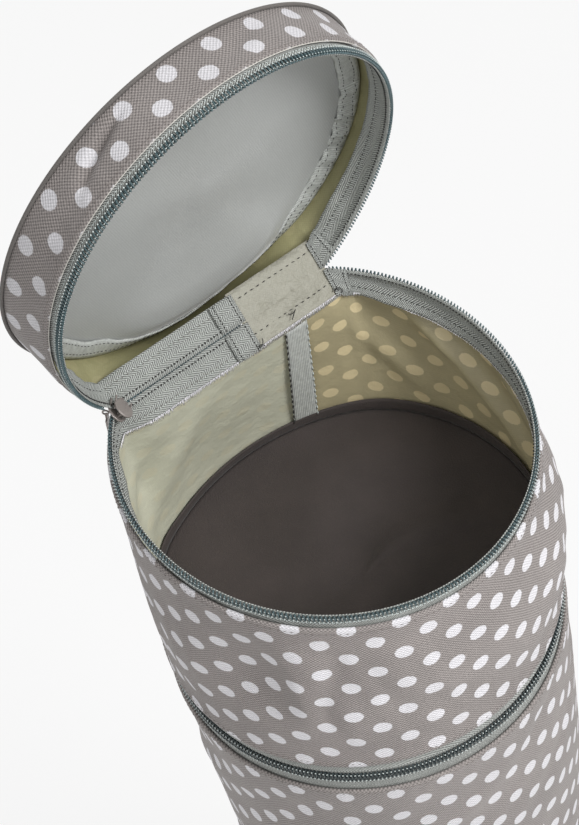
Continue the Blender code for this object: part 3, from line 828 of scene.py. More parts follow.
def thread(name, colour):
    """Spun polyester thread: matt, its twist showing as small changes of shade."""
    return speckled(name, 0.8, colour, (1500, 2), (0.6, 1.5))[0]


def dark_thread():
    return thread("dark_thread", colours().thread)


def brown_thread():
    return thread("brown_thread", colours().seam_thread)


def pale_thread():
    return thread("pale_thread", colours().pale_thread)


def worn_edge():
    # Pale thread colour, used as a painted highlight along folded edges.
    return thread("worn_edge", colours().worn)


def frayed_yarn():
    return thread("frayed_yarn", colours().dots)


def finish(maker):
    """The material that a maker gives, made once."""
    if maker not in FINISHES:
        FINISHES[maker] = maker()
    return FINISHES[maker]


FINISHES = {}


# Sewing

def places_on(points, fields, places, closed=False):
    """Points and directions at distances along a row of points."""
    if closed:
        points = np.concatenate([points, points[:1]])
        fields = [np.concatenate([field, field[:1]]) for field in fields]
    along = lengths_along(points)
    rows = (points, *fields)
    return [np.stack([np.interp(places, along, row[:, k]) for k in range(3)], axis=1) for row in rows]


def stitches(
    name, points, outs, body, maker, pitch, length=0.0022, width=0.0005, closed=False, wobble=0.12
):
    """A row of stitches along points, each a small raised lozenge of thread."""
    total = lengths_along(points, closed)[-1]
    middles = np.arange(pitch / 2, total - pitch / 4, pitch)
    centre, out = places_on(points, [outs], middles, closed)
    after = places_on(points, [], np.minimum(middles + length / 2, total), closed)[0]
    before = places_on(points, [], np.maximum(middles - length / 2, 0), closed)[0]
    out = unit(out)
    along = unit(after - before)
    side = unit(np.cross(along, out))
    lean = np.random.default_rng(len(middles)).uniform(-wobble, wobble, (len(middles), 1))
    along = unit(along + side * lean)
    ends = [centre - along * length / 2, centre + along * length / 2]
    sides = [centre - side * width / 2, centre + side * width / 2]
    corners = np.stack([*ends, *sides, centre + out * width / 2, centre - out * width / 2], axis=1)
    shape = [(0, 4, 2), (0, 3, 4), (1, 2, 4), (1, 4, 3), (0, 2, 5), (0, 5, 3), (1, 5, 2), (1, 3, 5)]
    faces = [[6 * i + k for k in face] for i in range(len(middles)) for face in shape]
    return sewn(new_object(name, corners.reshape(-1, 3), faces, materials=(finish(maker),)), body)


def ring_stitches(name, ring, distance, offset, body, maker=dark_thread, pitch=None, **settings):
    """A row of stitches round a ring or along a stretch of one."""
    line = at(ring, distance, offset)
    return stitches(name, line, ring.out, body, maker, pitch or sizes().stitch, **settings)


# The seam that holds down a folded edge
EDGE_SEAM = {"maker": brown_thread, "width": 0.0004, "closed": True}


def fringe(name, points, down, outs, body, shortest, longest, seed):
    """The frayed edge of a cut cloth: slivers of yarn of uneven length, some of them leaning."""
    random = np.random.default_rng(seed)
    total = lengths_along(points)[-1]
    places = np.arange(0.0005, total - 0.0005, 0.00055)
    places = places + random.uniform(-0.0002, 0.0002, len(places))
    start, down, out = places_on(points, [down, outs], places)
    along = unit(np.gradient(start, axis=0))
    uneven = (0.8 + 0.2 * wave(places * 200, seed))[:, None]
    reach = random.uniform(shortest, longest, (len(places), 1)) * uneven
    lean = random.normal(0.25, 0.2, (len(places), 1))
    reach = np.abs(reach)
    tip = start + unit(down) * reach + along * reach * lean
    tip = tip + out * random.uniform(-0.0004, 0.0004, (len(places), 1))
    half = along * 0.0003
    ends = (start - half, start + half, tip - half * 0.3, tip + half * 0.3, start - unit(out) * 0.0003)
    corners = np.stack(ends, axis=1)
    shape = [(0, 3, 1), (0, 2, 3), (1, 3, 4), (3, 2, 4), (2, 0, 4), (0, 1, 4)]
    faces = [[5 * i + k for k in face] for i in range(len(places)) for face in shape]
    return sewn(new_object(name, corners.reshape(-1, 3), faces, materials=(finish(frayed_yarn),)), body)


def coil(name, path, body, node, cut=0.0, shift=0.0, maker=nylon_coil):
    """One half of a nylon coil: a flattened spiral of thick filament, its heads just past the chain line."""
    steps, sides = 8, 5
    reach, rise, filament = 0.0021, 0.00078, 0.00043
    middle, lift = 0.0017, 0.00035
    pitch = sizes().coil_pitch
    total = lengths_along(path.point)[-1]
    turns = int((total - cut - 0.001) / pitch - shift)
    phase = 2 * math.pi * np.arange(turns * steps + 1) / steps
    places = cut + 0.0005 + shift * pitch + pitch * phase / (2 * math.pi)
    start, square, out = places_on(path.point, [path.square, path.out], places)
    square, out = unit(square), unit(out)
    sine, cosine = np.sin(phase)[:, None], np.cos(phase)[:, None]
    line = start + square * (middle - reach * cosine) + out * (lift + rise * sine)
    tangent = unit(np.gradient(line, axis=0))
    side = unit(np.cross(tangent, unit(out + 0.3 * square)))
    normal = np.cross(side, tangent)
    return sewn(strand(name, line, side, normal, filament, sides, maker), body, node)


def tape_hang(path, name):
    """How far the free edge of a rim tape hangs in: most just past the corners of the fold."""
    if name not in ("rim", "lid"):
        return 0.0
    ring = RINGS[name]
    corners = (part_of(ring, 0, 1).point[0], part_of(ring, ARC_STEPS, ARC_STEPS + 1).point[0])
    away = np.min([np.linalg.norm(path.point - corner, axis=1) for corner in corners], axis=0)
    fold = unit(corners[1] - corners[0])
    beside = np.linalg.norm(np.cross(path.point - corners[0], fold), axis=1)
    clear = np.clip(beside / 0.012, 0, 1)
    return 0.0042 * clear * np.interp(away, (0.012, 0.032, 0.07, 0.14), (0, 1, 0.8, 0.15))


def tape_of_zip(name, path, body, node, ripple, hang):
    """One tape of a zip, running behind its coil, and the row of threads that holds the coil to it."""
    profile = [(0.0003, -0.0010), (0.0030, -0.0010), (0.0046, -0.0005), (0.0060, 0.0), (0.0072, 0.0)]
    profile += [(0.0072 + (TAPE_END - 0.0072) * k / 6, 0.0) for k in range(1, 7)]
    u = lengths_along(path.point)
    rows = []
    for distance, offset in profile:
        loose = max(0.0, (distance - SEAM_START) / (TAPE_END - SEAM_START))
        inward = hang + ripple * (1 + wave(u * 160, len(name)))
        rows.append(at(path, distance, offset - loose * inward))
    sewn(cloth(name, rows, 0.0005, zip_tape, u=u, v=[d for d, _ in profile]), body, node)
    size = {"pitch": sizes().coil_pitch, "length": 0.0013, "width": 0.0014}
    ring_stitches(f"{name}_inner_row", path, 0.0027, -0.0014, body, **size)


# Rows of thread over a coil: distance from the chain, offset, length and width of each stitch
UNDER_ROWS = ((0.0015, 0.0018, 0.0011, 0.0011),)
UPPER_ROWS = ((0.0038, 0.0014, 0.0011, 0.0011),)
# On the open coils the first row, next to the chain, is a painted highlight on the coil's heads, drawn in
# pale thread; the other two rows are thread.
OPEN_ROWS = (
    (0.0004, 0.0013, 0.0012, 0.0006),
    (0.0030, 0.0016, 0.0011, 0.0012),
    (0.0056, 0.0004, 0.0015, 0.0008),
)


def coil_threads_and_highlight(name, path, body, rows, cut=0.0):
    """Rows of pale thread over a coil, which give the chain its chequered look. The first row of OPEN_ROWS is
    a painted highlight on the coil's heads.
    """
    clear = lengths_along(path.point) >= cut
    path = Ring(*(field[clear] for field in path))
    pitch = sizes().coil_pitch
    for number, (distance, offset, length, width) in enumerate(rows):
        place = f"{name}_row_{number + 1}"
        ring_stitches(place, path, distance, offset, body, pale_thread, pitch, length=length, width=width)


def fold_highlight_strand(name, ring, distance, offset, body, radius):
    """A pale strand along the rolled edge of a folded hem: a painted highlight where the fold catches the
    light.
    """
    line = at(ring, distance, offset)
    line = np.concatenate([line, line[:1]])
    return sewn(wire(name, line, radius, worn_edge), body)


def zip_part(ring):
    """The stretch of a ring that has the zip: closed run, left corner and front, to the right corner."""
    return part_of(ring, PANEL_END, PANEL_END + RUN_STEPS + ARC_STEPS)


def panel_part(ring):
    return part_of(ring, ARC_STEPS, PANEL_END)


def run_part(ring):
    return part_of(ring, PANEL_END, PANEL_END + RUN_STEPS)


def front_part(ring):
    return part_of(ring, 0, ARC_STEPS)


def from_seam(ring):
    """The ring begun at the back seam, where the cut ends of the cloth meet."""
    return Ring(*(np.roll(field, -SEAM, axis=0) for field in ring))


def hem(fold):
    """Distances and offsets of a hem folded at a distance from the chain, from its inner edge out."""
    turned_in = [(fold + 0.006, -0.0007), (fold + 0.001, -0.0006)]
    return [*turned_in, (fold, 0.0002), (fold + 0.0007, 0.0010), (fold + 0.0028, 0.0008)]


# Operators: one for each piece or group of like pieces

class ORGANIZER_OT_tube(bpy.types.Operator):
    """Model the tube's wall of spotted cloth and the tape on its seam"""

    bl_idname = "organizer.tube"
    bl_label = "Tube"

    def execute(self, context):
        ring = from_seam(RINGS["tube"])
        u = lengths_along(ring.point, True)
        length = u[-1]
        turn = u[:-1] / length
        fold = sizes().tube_fold
        bottom = TUBE_HEIGHT - 2 * PIPING - 0.0003
        rows = [at(ring, distance, WALL_OFFSET + offset) for distance, offset in hem(fold)]
        v = [2 * fold - distance if k < 2 else distance for k, (distance, _) in enumerate(hem(fold))]
        start = hem(fold)[-1][0]
        for k in range(1, 101):
            distance = start + (bottom - start) * (k / 100) ** 1.15
            height = TUBE_HEIGHT - distance
            ends = max(min(1, (distance - start) / 0.03, (bottom - distance) / 0.03), 0)
            offset = 0.0015 * wave(turn * 19 + 2.2 * wave(height * 9, 4), 8)
            offset = offset + 0.0010 * wave(height * 24, 12) * wave(turn * 12, 15)
            offset = folded(offset, u[:-1], distance, length, 1, TUBE_FOLDS) * ends
            offset = offset + puckers(u[:-1], distance - fold, 21)
            offset = offset + puckers(u[:-1], bottom - distance, 23, 0.009)
            top = 0.0008 * max(0, 1 - (distance - start) / 0.03)
            rows.append(at(ring, distance, WALL_OFFSET + top + offset))
            v.append(distance)
        wall = cloth(
            "tube_cloth", rows, CLOTH, spotted_polyester, coated_reverse, True, u, v,
            flip=True, scale=(0.97, 0.92), start=(-0.0026, -0.0049),
        )
        sewn(wall, "tube", "tube_wall")
        seam = {"body": "tube", "length": 0.0018, **EDGE_SEAM}
        ring_stitches("tube_top_stitches", ring, fold + 0.0026, WALL_OFFSET + 0.0013, **seam)
        middle = part_of(RINGS["tube"], SEAM - 4, SEAM + 4)
        seam = [at(middle, d, -0.0002) for d in np.linspace(TAPE_END + 0.0005, 0.69, 30)]
        sewn(cloth("tube_seam_tape", seam, THIN, ribbed_binding), "tube", "tube_seam_binding")
        return {"FINISHED"}


class ORGANIZER_OT_base(bpy.types.Operator):
    """Model the base: its cloth, the cord and the binding on its seam, and the stiffener's finish"""

    bl_idname = "organizer.base"
    bl_label = "Base"

    def execute(self, context):
        ring = RINGS["tube"]
        outward = ring.point * (1, 1, 0) / CHAIN_RADIUS
        rows = [outward * r + UP * 0.0005 for r in (0.1085, 0.104, 0.09, 0.07, 0.05, 0.03, 0.012)]
        base = disc_cloth("base_cloth", rows, UP * 0.0005, CLOTH, spotted_polyester, coated_reverse, True)
        sewn(base, "tube", "base_panel")
        cord = cord_ring("base_cord", DISC_RADIUS, PIPING, (0, 0, PIPING), Matrix.Identity(4))
        sewn(cord, "tube", "base_piping")
        low = TUBE_HEIGHT - FABRIC - BASE_BOARD - 0.001
        rows = [at(ring, d, -0.0001) for d in np.linspace(low - 0.008, low, 4)]
        binding = cloth("base_binding", rows, CLOTH, ribbed_binding, closed=True)
        sewn(binding, "tube", "base_seam_binding")
        for name in ("base_board", "lid_board"):
            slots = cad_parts[name].data.materials
            slots.clear()
            slots.append(finish(stiffener_sheet))
        return {"FINISHED"}


def placed(obj, name, matrix, maker):
    """Moves a modelled object into place, keeps the place in its mesh, and gives it its name and finish."""
    only(obj)
    bpy.ops.object.transform_apply(location=True, rotation=True, scale=True)
    obj.data.transform(matrix)
    obj.data.update()
    obj.name = name
    obj.data.name = name
    obj.data.materials.clear()
    obj.data.materials.append(finish(maker))
    bpy.ops.object.shade_smooth_by_angle(angle=math.radians(40))
    return obj


def cord_ring(name, radius, thickness, middle, matrix):
    """The cord sewn in round an edge, thickness being its radius."""
    size = {"major_radius": radius, "minor_radius": thickness, "major_segments": 160, "minor_segments": 12}
    return placed(added("torus", location=middle, **size), name, matrix, cord_cover)


def wall_shape(u, share, height, length):
    """How far the wall swells or folds at a share of its height, u going from the back round by its left."""
    v = share * height + 0 * u
    turn = u / length
    middle = math.sin(math.pi * share)
    out = 0.0022 * middle + 0.0050 * middle * np.exp(-(((turn - 0.72) / 0.10) ** 2))
    for (around, up), (width, tall), depth in COMPARTMENT_DENTS:
        out = out + dent(u, v, around * length, up * height, width, tall, depth, length)
    out = folded(out, u, v, length, height, COMPARTMENT_FOLDS)
    out = out + 0.0010 * wave(turn * 60 + 3 * share, 31) * middle
    return out * min(1, share / 0.2) * min(1, (1 - share) / 0.12)


class ORGANIZER_OT_compartment(bpy.types.Operator):
    """Model the ribbon compartment's wall, its seam tape, and its sagging floor with binding"""

    bl_idname = "organizer.compartment"
    bl_label = "Ribbon compartment"

    def execute(self, context):
        rim, lower = from_seam(RINGS["rim"]), from_seam(RINGS["lower"])
        u = lengths_along(lower.point, True)
        length = u[-1]
        height = COMPARTMENT_HEIGHT - 2 * TAPE_END
        rim_hem, low_hem = hem(sizes().rim_fold), hem(sizes().tube_fold)
        rows = [at(rim, distance, WALL_OFFSET + offset) for distance, offset in rim_hem]
        steps = 50
        for k in range(steps + 1):
            share = 1 - k / steps
            offset = WALL_OFFSET + 0.0006 * (1 - 4 * share * (1 - share))
            offset = offset + wall_shape(u[:-1], share, height, length)
            offset = offset + puckers(u[:-1], (1 - share) * height + 0.005, 41)
            offset = offset + puckers(u[:-1], share * height + 0.007, 43)
            rows.append(at(lower, TAPE_END, offset) * (1 - share) + at(rim, TAPE_END, offset) * share)
        rows += [at(lower, distance, WALL_OFFSET + offset) for distance, offset in reversed(low_hem)]
        wall = cloth(
            "compartment_cloth", rows, CLOTH, spotted_polyester, coated_reverse, True, u,
            flip=True, scale=(0.963, 1.33), start=(0.0119, -0.0103),
        )
        sewn(wall, "compartment", "compartment_wall")
        fold = sizes().rim_fold
        seam = {"body": "compartment", "length": 0.0018, **EDGE_SEAM}
        ring_stitches("rim_top_stitches", rim, fold + 0.0028, WALL_OFFSET + 0.0014, **seam)
        fold_highlight_strand("rim_fold_edge", rim, fold - 0.0001, WALL_OFFSET + 0.0002, "compartment", 0.0002)
        fold = sizes().tube_fold
        ring_stitches("lower_top_stitches", lower, fold + 0.0026, WALL_OFFSET + 0.0013, **seam)

        low, high = part_of(RINGS["lower"], SEAM - 2, SEAM + 5), part_of(RINGS["rim"], SEAM - 2, SEAM + 5)
        bottoms, tops = (at(edge, TAPE_END, WALL_OFFSET - 0.0014) for edge in (low, high))
        seam = []
        for share in np.linspace(0.1, 0.985, 24):
            line = bottoms * (1 - share) + tops * share
            seam.append(line[:-1] * share + line[1:] * (1 - share))
        tape = cloth("compartment_seam_tape", seam, THIN, ribbed_binding)
        sewn(tape, "compartment", "compartment_seam_binding")
        for column, maker, size in ((6, dark_thread, 0.0012), (0, pale_thread, 0.0008)):
            line = np.array([row[column] for row in seam])
            inward = -np.repeat(low.out[column][None], len(line), axis=0)
            name = f"compartment_seam_stitches_{column}"
            stitches(name, line + inward * 0.0006, inward, "compartment", maker, 0.0050, 0.0044, size)

        edge = at(lower, FLOOR_RISE, 0.0002)
        centre = edge.mean(axis=0)
        rows = []
        for share in (1, 0.985, 0.95, 0.88, 0.8, 0.7, 0.6, 0.5, 0.4, 0.3, 0.2, 0.1):
            row = centre + (edge - centre) * share
            turn = np.arctan2(row[:, 1] - centre[1], row[:, 0] - centre[0])
            fold = 0.0022 * np.sin(3 * turn + 5 * share) * math.sin(math.pi * share)
            row[:, 2] += -FLOOR_SAG * (1 - share) ** 0.8 + fold
            row[:, 2] += 0.003 * math.sin(math.pi * share) * np.exp(-(((turn - 0.9 + share) / 0.16) ** 2))
            rows.append(row)
        lowest = centre - UP * FLOOR_SAG
        floor = disc_cloth("compartment_floor_cloth", rows, lowest, CLOTH, dark_floor_cloth)
        sewn(floor, "compartment", "compartment_floor")
        rows = [at(lower, FLOOR_RISE + d, 0.0001) for d in (0.0006, 0.003, 0.006, 0.0085)]
        binding = cloth("compartment_floor_edge", rows, 0.0007, dark_floor_cloth, closed=True)
        sewn(binding, "compartment", "compartment_floor_binding")
        return {"FINISHED"}


def lining_lift(turn, radius):
    """How far the lining swells towards the opening above the fold, and less far to the right."""
    above = 1 / (1 + np.exp((turn - 2.05) / 0.07)) / (1 + np.exp((0.85 - turn) / 0.08))
    radii = (0.03, 0.07, 0.088, 0.0935, 0.098, 0.1045, 0.1088)
    swell = np.interp(radius, radii, (0, 0.5, 0.95, 1, 0.6, 0.2, 0))
    right = 1 / (1 + np.exp((turn - 1.0) / 0.1)) / (1 + np.exp((-0.5 - turn) / 0.2))
    return 0.0112 * above * swell + 0.005 * right * (radius / 0.109) ** 5


class ORGANIZER_OT_lid(bpy.types.Operator):
    """Model the lid: band, top, cord, lining and the binding round it"""

    bl_idname = "organizer.lid"
    bl_label = "Lid"

    def execute(self, context):
        ring = from_seam(RINGS["lid"])
        outline = np.roll(RINGS["lid_points"], -SEAM, axis=0)
        u = lengths_along(ring.point, True)
        length = u[-1]
        axis = moved(LID_MIDDLE[None], LID_PLACE)
        outward = unit(moved(round_ring(outline, LID_MIDDLE, 1.0, 0), LID_PLACE) - axis)
        fold = sizes().lid_fold
        rows = [at(ring, distance, WALL_OFFSET + offset) for distance, offset in hem(fold)]
        low = rows[-1]
        shoulder = moved(round_ring(outline, LID_MIDDLE, DISC_RADIUS, LID_HEIGHT - LID_SHOULDER), LID_PLACE)
        top = moved(round_ring(outline, LID_MIDDLE, DISC_RADIUS, LID_HEIGHT - 0.0013), LID_PLACE)
        steps = 18
        for k in range(1, steps + 1):
            share = k / steps
            v = share * 0.022 + 0 * u[:-1]
            offset = 0.0008 * wave(u[:-1] * 40, 63) * math.sin(math.pi * share)
            offset = folded(offset, u[:-1], v, length, 1, LID_FOLDS)
            offset = offset + dent(u[:-1], v, 0.40 * length, 0.008, 0.040, 0.005, 0.0009, length)
            fade = min(1, share / 0.15) * min(1, (1 - share) / 0.15)
            offset = offset * fade + puckers(u[:-1], v[0] + 0.002, 61, 0.010) * min(1, (1 - share) / 0.15)
            rows.append(low * (1 - share) + shoulder * share + outward * offset[:, None])
        rows += [shoulder * (1 - share) + top * share for share in (0.35, 0.7, 1)]
        band = cloth(
            "lid_band_cloth", rows, CLOTH, shaded_lid_polyester, shaded_lid_reverse, True, u,
            scale=(0.963, 0.92), start=(0.005, -0.0018),
        )
        sewn(band, "lid", "lid_band")
        ring_stitches("lid_edge_stitches", ring, fold + 0.0024, WALL_OFFSET + 0.0013, "lid", **EDGE_SEAM)
        fold_highlight_strand("lid_fold_edge", ring, fold - 0.0001, WALL_OFFSET + 0.0003, "lid", 0.0003)

        rings = [(TUBE_RADIUS - 0.0003, -0.0008), (0.106, -0.0002), (0.09, 0.0004)]
        rings += [(r, 0.0006) for r in (0.07, 0.05, 0.03, 0.012)]
        rows = [moved(round_ring(outline, LID_MIDDLE, r, LID_HEIGHT + z), LID_PLACE) for r, z in rings]
        centre = moved((LID_MIDDLE + UP * (LID_HEIGHT + 0.0006))[None], LID_PLACE)[0]
        top = disc_cloth("lid_top_cloth", rows, centre, CLOTH, shaded_lid_polyester, shaded_lid_reverse)
        sewn(top, "lid", "lid_panel")

        middle = tuple(LID_MIDDLE + UP * (LID_HEIGHT - LID_PIPING))
        cord = cord_ring("lid_cord", TUBE_RADIUS + 0.0008, 0.0010, middle, LID_PLACE)
        sewn(cord, "lid", "lid_piping")

        depth = LID_HEIGHT - 0.0040
        rings = [(0.1088, depth), (0.104, depth - 0.0001), (0.098, depth - 0.0004), (0.085, depth - 0.0012)]
        rings += [(r, depth - 0.0016) for r in (0.07, 0.055, 0.04, 0.025, 0.01)]
        rows = []
        for r, z in rings:
            line = round_ring(outline, LID_MIDDLE, r, z)
            turn = np.arctan2(line[:, 1] - LID_MIDDLE[1], line[:, 0])
            line[:, 2] -= 0.0007 * (1 + np.sin(2 * turn + r * 60)) * (r < 0.1) + lining_lift(turn, r)
            rows.append(moved(line, LID_PLACE))
        centre = moved((LID_MIDDLE + UP * (depth - 0.0023))[None], LID_PLACE)[0]
        lining = disc_cloth("lid_lining_cloth", rows, centre, THIN, lining_nylon, flip=True)
        sewn(lining, "lid", "lid_lining")

        turn = u[:-1] / length
        puckered = 0.0018 * np.exp(-(((turn - 0.84) / 0.07) ** 2))
        ripple = 0.0004 * wave(u[:-1] * 90, 71) + puckered * wave(u[:-1] * 330, 73)
        rings = [(0.1090, 0.0012), (0.1087, 0.0026), (0.1062, 0.0030), (0.1030, 0.0028)]
        rings += [(0.1000, 0.0026), (0.0980, 0.0022), (0.0976, 0.0012)]
        rows = []
        for r, drop in rings:
            line = round_ring(outline, LID_MIDDLE, 1.0, 0) - LID_MIDDLE
            way = np.arctan2(line[:, 1], line[:, 0])
            line = LID_MIDDLE + line * (r + (r < 0.101) * 0.0006 * wave(turn * 80, 77))[:, None]
            line[:, 2] += depth - drop - ripple * (r < 0.108) - lining_lift(way, r)
            rows.append(moved(line, LID_PLACE))
        binding = cloth("lid_lining_binding", rows, THIN, ribbed_binding, closed=True, u=u)
        sewn(binding, "lid", "lid_seam_binding")
        inward = np.repeat(-np.array(LID_PLACE.to_3x3() @ Vector((0, 0, 1)))[None], len(u) - 1, axis=0)
        size = {"pitch": 0.0030, "length": 0.0021, "width": 0.0006, "closed": True}
        for name, first in (("outer", 2), ("inner", 4)):
            line = rows[first] * 0.7 + rows[first + 1] * 0.3 + inward * 0.0004
            stitches(f"lid_binding_stitches_{name}", line, inward, "lid", dark_thread, **size)
        return {"FINISHED"}


class ORGANIZER_OT_zips(bpy.types.Operator):
    """Model the tapes and coils of both zips"""

    bl_idname = "organizer.zips"
    bl_label = "Zips"

    def execute(self, context):
        sides = (
            (0.0, 0.0, UNDER_ROWS, shaded_closed_coil),
            (0.0, 0.5, UPPER_ROWS, shaded_closed_coil),
            (0.0002, 0.0, OPEN_ROWS, nylon_coil),
        )
        for (prefix, side, ring_name), (ripple, shift, rows, maker) in zip(ZIP_HALVES, sides):
            path = zip_part(RINGS[ring_name])
            tape, hang = f"{prefix}_tape_of_{side}", tape_hang(path, ring_name)
            tape_of_zip(tape, path, side, f"{prefix}_zip_tape_{side}", ripple, hang)
            name = f"{prefix}_coil_of_{side}"
            coil(name, path, side, f"{prefix}_zip_coil_{side}", shift=shift, maker=maker)
            coil_threads_and_highlight(name, path, side, rows)
        path = zip_part(RINGS["lid"])
        tape_of_zip("rim_tape_of_lid", path, "lid", "rim_zip_tape_lid", 0.0003, tape_hang(path, "lid"))
        run, front = run_part(RINGS["lid"]), front_part(RINGS["lid"])
        coil("rim_coil_of_lid_closed", run, "lid", "rim_zip_coil_lid_closed_run", shift=0.5)
        coil("rim_coil_of_lid_open", front, "lid", "rim_zip_coil_lid_open_run", cut=LID_COIL_CUT)
        coil_threads_and_highlight("rim_coil_of_lid", front, "lid", OPEN_ROWS, LID_COIL_CUT)
        row = 0.0118
        for _, body, name in ZIP_HALVES:
            front, run = front_part(RINGS[name]), run_part(RINGS[name])
            hang = 0.42 * tape_hang(front, name)
            ring_stitches(f"{name}_tape_stitches", front, row, -0.0006 - hang, body, width=0.0006)
            ring_stitches(f"{name}_run_stitches", run, row, -0.0006, body, brown_thread, width=0.0004)
        return {"FINISHED"}


class ORGANIZER_OT_zip_ends(bpy.types.Operator):
    """Model the patches of tape over the zip ends and the hinge panels between them"""

    bl_idname = "organizer.zip_ends"
    bl_label = "Zip ends and hinge panels"

    def execute(self, context):
        profile = (0.0006, 0.004, 0.008, 0.012, TAPE_END - 0.0002)
        for prefix, side, ring_name in ZIP_HALVES:
            ring = RINGS[ring_name]
            spans = {
                "left": part_of(ring, PANEL_END - 1, PANEL_END + TAB_STEPS["left"]),
                "right": part_of(ring, ARC_STEPS - TAB_STEPS["right"], ARC_STEPS + 1),
            }
            for label, path in spans.items():
                u = lengths_along(path.point)
                rows = [at(path, d, -0.0017 - 0.0004 * np.sin(u / u[-1] * math.pi)) for d in profile]
                name = f"{prefix}_tab_{label}_of_{side}"
                tab = cloth(name, rows, THIN, zip_tape, u=u * TAB_PRINT, v=profile)
                sewn(tab, side, f"{prefix}_zip_end_tab_{label}_{side}")
                for edge, station in (("near", 1), ("far", len(u) - 2)):
                    line = np.array([at(path, d, -0.0023)[station] for d in np.linspace(0.001, 0.0165, 12)])
                    inward = np.repeat(-path.out[station][None], len(line), axis=0)
                    name = f"{prefix}_tab_{label}_stitches_{edge}_{side}"
                    stitches(name, line, inward, side, dark_thread, 0.0020, 0.0019, 0.0008)
        hinge_cloth("lower", "tube", "tube", "compartment", "lower")
        hinge_cloth("rim", "compartment", "rim", "lid", "lid")
        low, high = panel_part(RINGS["rim"]), panel_part(RINGS["lid"])
        sag = hinge_sag(low)
        size = {"pitch": 0.0042, "length": 0.0028, "width": 0.0007, "wobble": 0.2}
        rows = (("upper", high, "lid", 0.0125), ("lower", low, "compartment", 0.0085))
        for name, ring, side, distance in rows:
            line = at(ring, distance, -0.0009 - sag * (1 - distance / TAPE_END))
            stitches(f"hinge_stitches_{name}", line, -ring.out, side, dark_thread, **size)
        return {"FINISHED"}


def hinge_sag(ring):
    """How far a hinge panel bellies in, with the puckers of its seams."""
    u = lengths_along(ring.point)
    return 0.0016 * np.sin(math.pi * u / u[-1]) * (1 + 1.2 * wave(u * 170, 81))


def hinge_cloth(prefix, low_side, low_name, high_side, high_name):
    """One hinge panel, a single cloth from tape to tape that folds at the chain."""
    low, high = panel_part(RINGS[low_name]), panel_part(RINGS[high_name])
    u = lengths_along(low.point)
    sag = hinge_sag(low)
    distances = (TAPE_END + 0.001, 0.0145, 0.012, 0.0095, 0.007, 0.0045, 0.002, 0.0008)
    bend = 0.0009 * wave(u * 130, 83)
    held = TAPE_END + 0.002
    rows = [at(low, d, -0.0003 - (sag + bend * math.sin(d * 500)) * (1 - d / held)) for d in distances]
    rows.append((at(low, 0, -0.0007 - sag) + at(high, 0, -0.0007 - sag)) / 2)
    for d in reversed(distances):
        rows.append(at(high, d, -0.0003 - (sag + bend * math.cos(d * 400)) * (1 - d / held)))
    panel = cloth(f"{prefix}_hinge_cloth", rows, CLOTH, spotted_polyester, plain_reverse, u=u)
    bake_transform(panel)
    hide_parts(f"{prefix}_hinge_panel_{low_side}", f"{prefix}_hinge_panel_{high_side}")


class ORGANIZER_OT_raw_edges(bpy.types.Operator):
    """Fray the cut edges of cloth inside the rim, and leave the thread ends on the hinge panel"""

    bl_idname = "organizer.raw_edges"
    bl_label = "Raw edges and thread ends"

    def execute(self, context):
        rim = RINGS["rim"]
        stretch = part_of(rim, SEAM - 30, PANEL_END + RUN_STEPS + 4)
        line = at(stretch, TAPE_END - 0.0014, -0.0012)
        ways = (stretch.along, stretch.out)
        fringe("rim_frayed_edge", line, *ways, "compartment", 0.0022, 0.0034, 5)
        right = part_of(rim, ARC_STEPS - 80, SEAM - 30)
        line = at(right, TAPE_END - 0.0006, -0.0008 - tape_hang(right, "rim"))
        fringe("rim_frayed_edge_right", line, right.along, right.out, "compartment", 0.0, 0.0020, 9)
        ends = ((PANEL_END - 1, 0.0130), (ARC_STEPS, 0.0115), (SEAM + 1, 0.0085))
        for number, (index, distance) in enumerate(ends):
            station = part_of(rim, index, index + 1)
            start = at(station, distance, -0.0026)[0]
            along = unit(station.point[1] - station.point[0])
            out, down = station.out[0], station.along[0]
            t = np.linspace(0, 1, 22)[:, None]
            swing = np.random.default_rng(number + 3).uniform(-1, 1, 6)
            line = start - out * (0.0004 + 0.0012 * np.sin(math.pi * t))
            line = line + down * (0.0035 * t + 0.0012 * np.sin(7 * t + swing[0]))
            line = line + along * 0.0022 * np.sin(5.5 * t + 3 * swing[1])
            sewn(wire(f"thread_end_{number + 1}", line, 0.00028, dark_thread), "compartment")
        return {"FINISHED"}


def added(kind, **settings):
    """A primitive added at its size and place, its transform applied."""
    bpy.ops.object.select_all(action="DESELECT")
    getattr(bpy.ops.mesh, f"primitive_{kind}_add")(**settings)
    bpy.ops.object.transform_apply(location=True, rotation=True, scale=True)
    return bpy.context.object


def edited(obj, kind, test):
    """Opens a piece for editing, with its vertices or faces that pass a test selected."""
    only(obj)
    bpy.ops.object.mode_set(mode="EDIT")
    bpy.ops.mesh.select_all(action="DESELECT")
    bpy.ops.object.mode_set(mode="OBJECT")
    for item in getattr(obj.data, kind):
        item.select = test(item)
    bpy.ops.object.mode_set(mode="EDIT")


def soft_block(location, scale, width):
    """A block with its edges rounded."""
    return softened_edges(added("cube", size=1, location=location, scale=scale), width)


def softened_edges(obj, width):
    settings = {"width": width, "segments": 3, "limit_method": "ANGLE", "angle_limit": 0.6}
    return finished(obj, "BEVEL", "Soft edges", **settings)


def joined(parts):
    only(parts[0])
    for part in parts[1:]:
        part.select_set(True)
    bpy.ops.object.join()
    return parts[0]


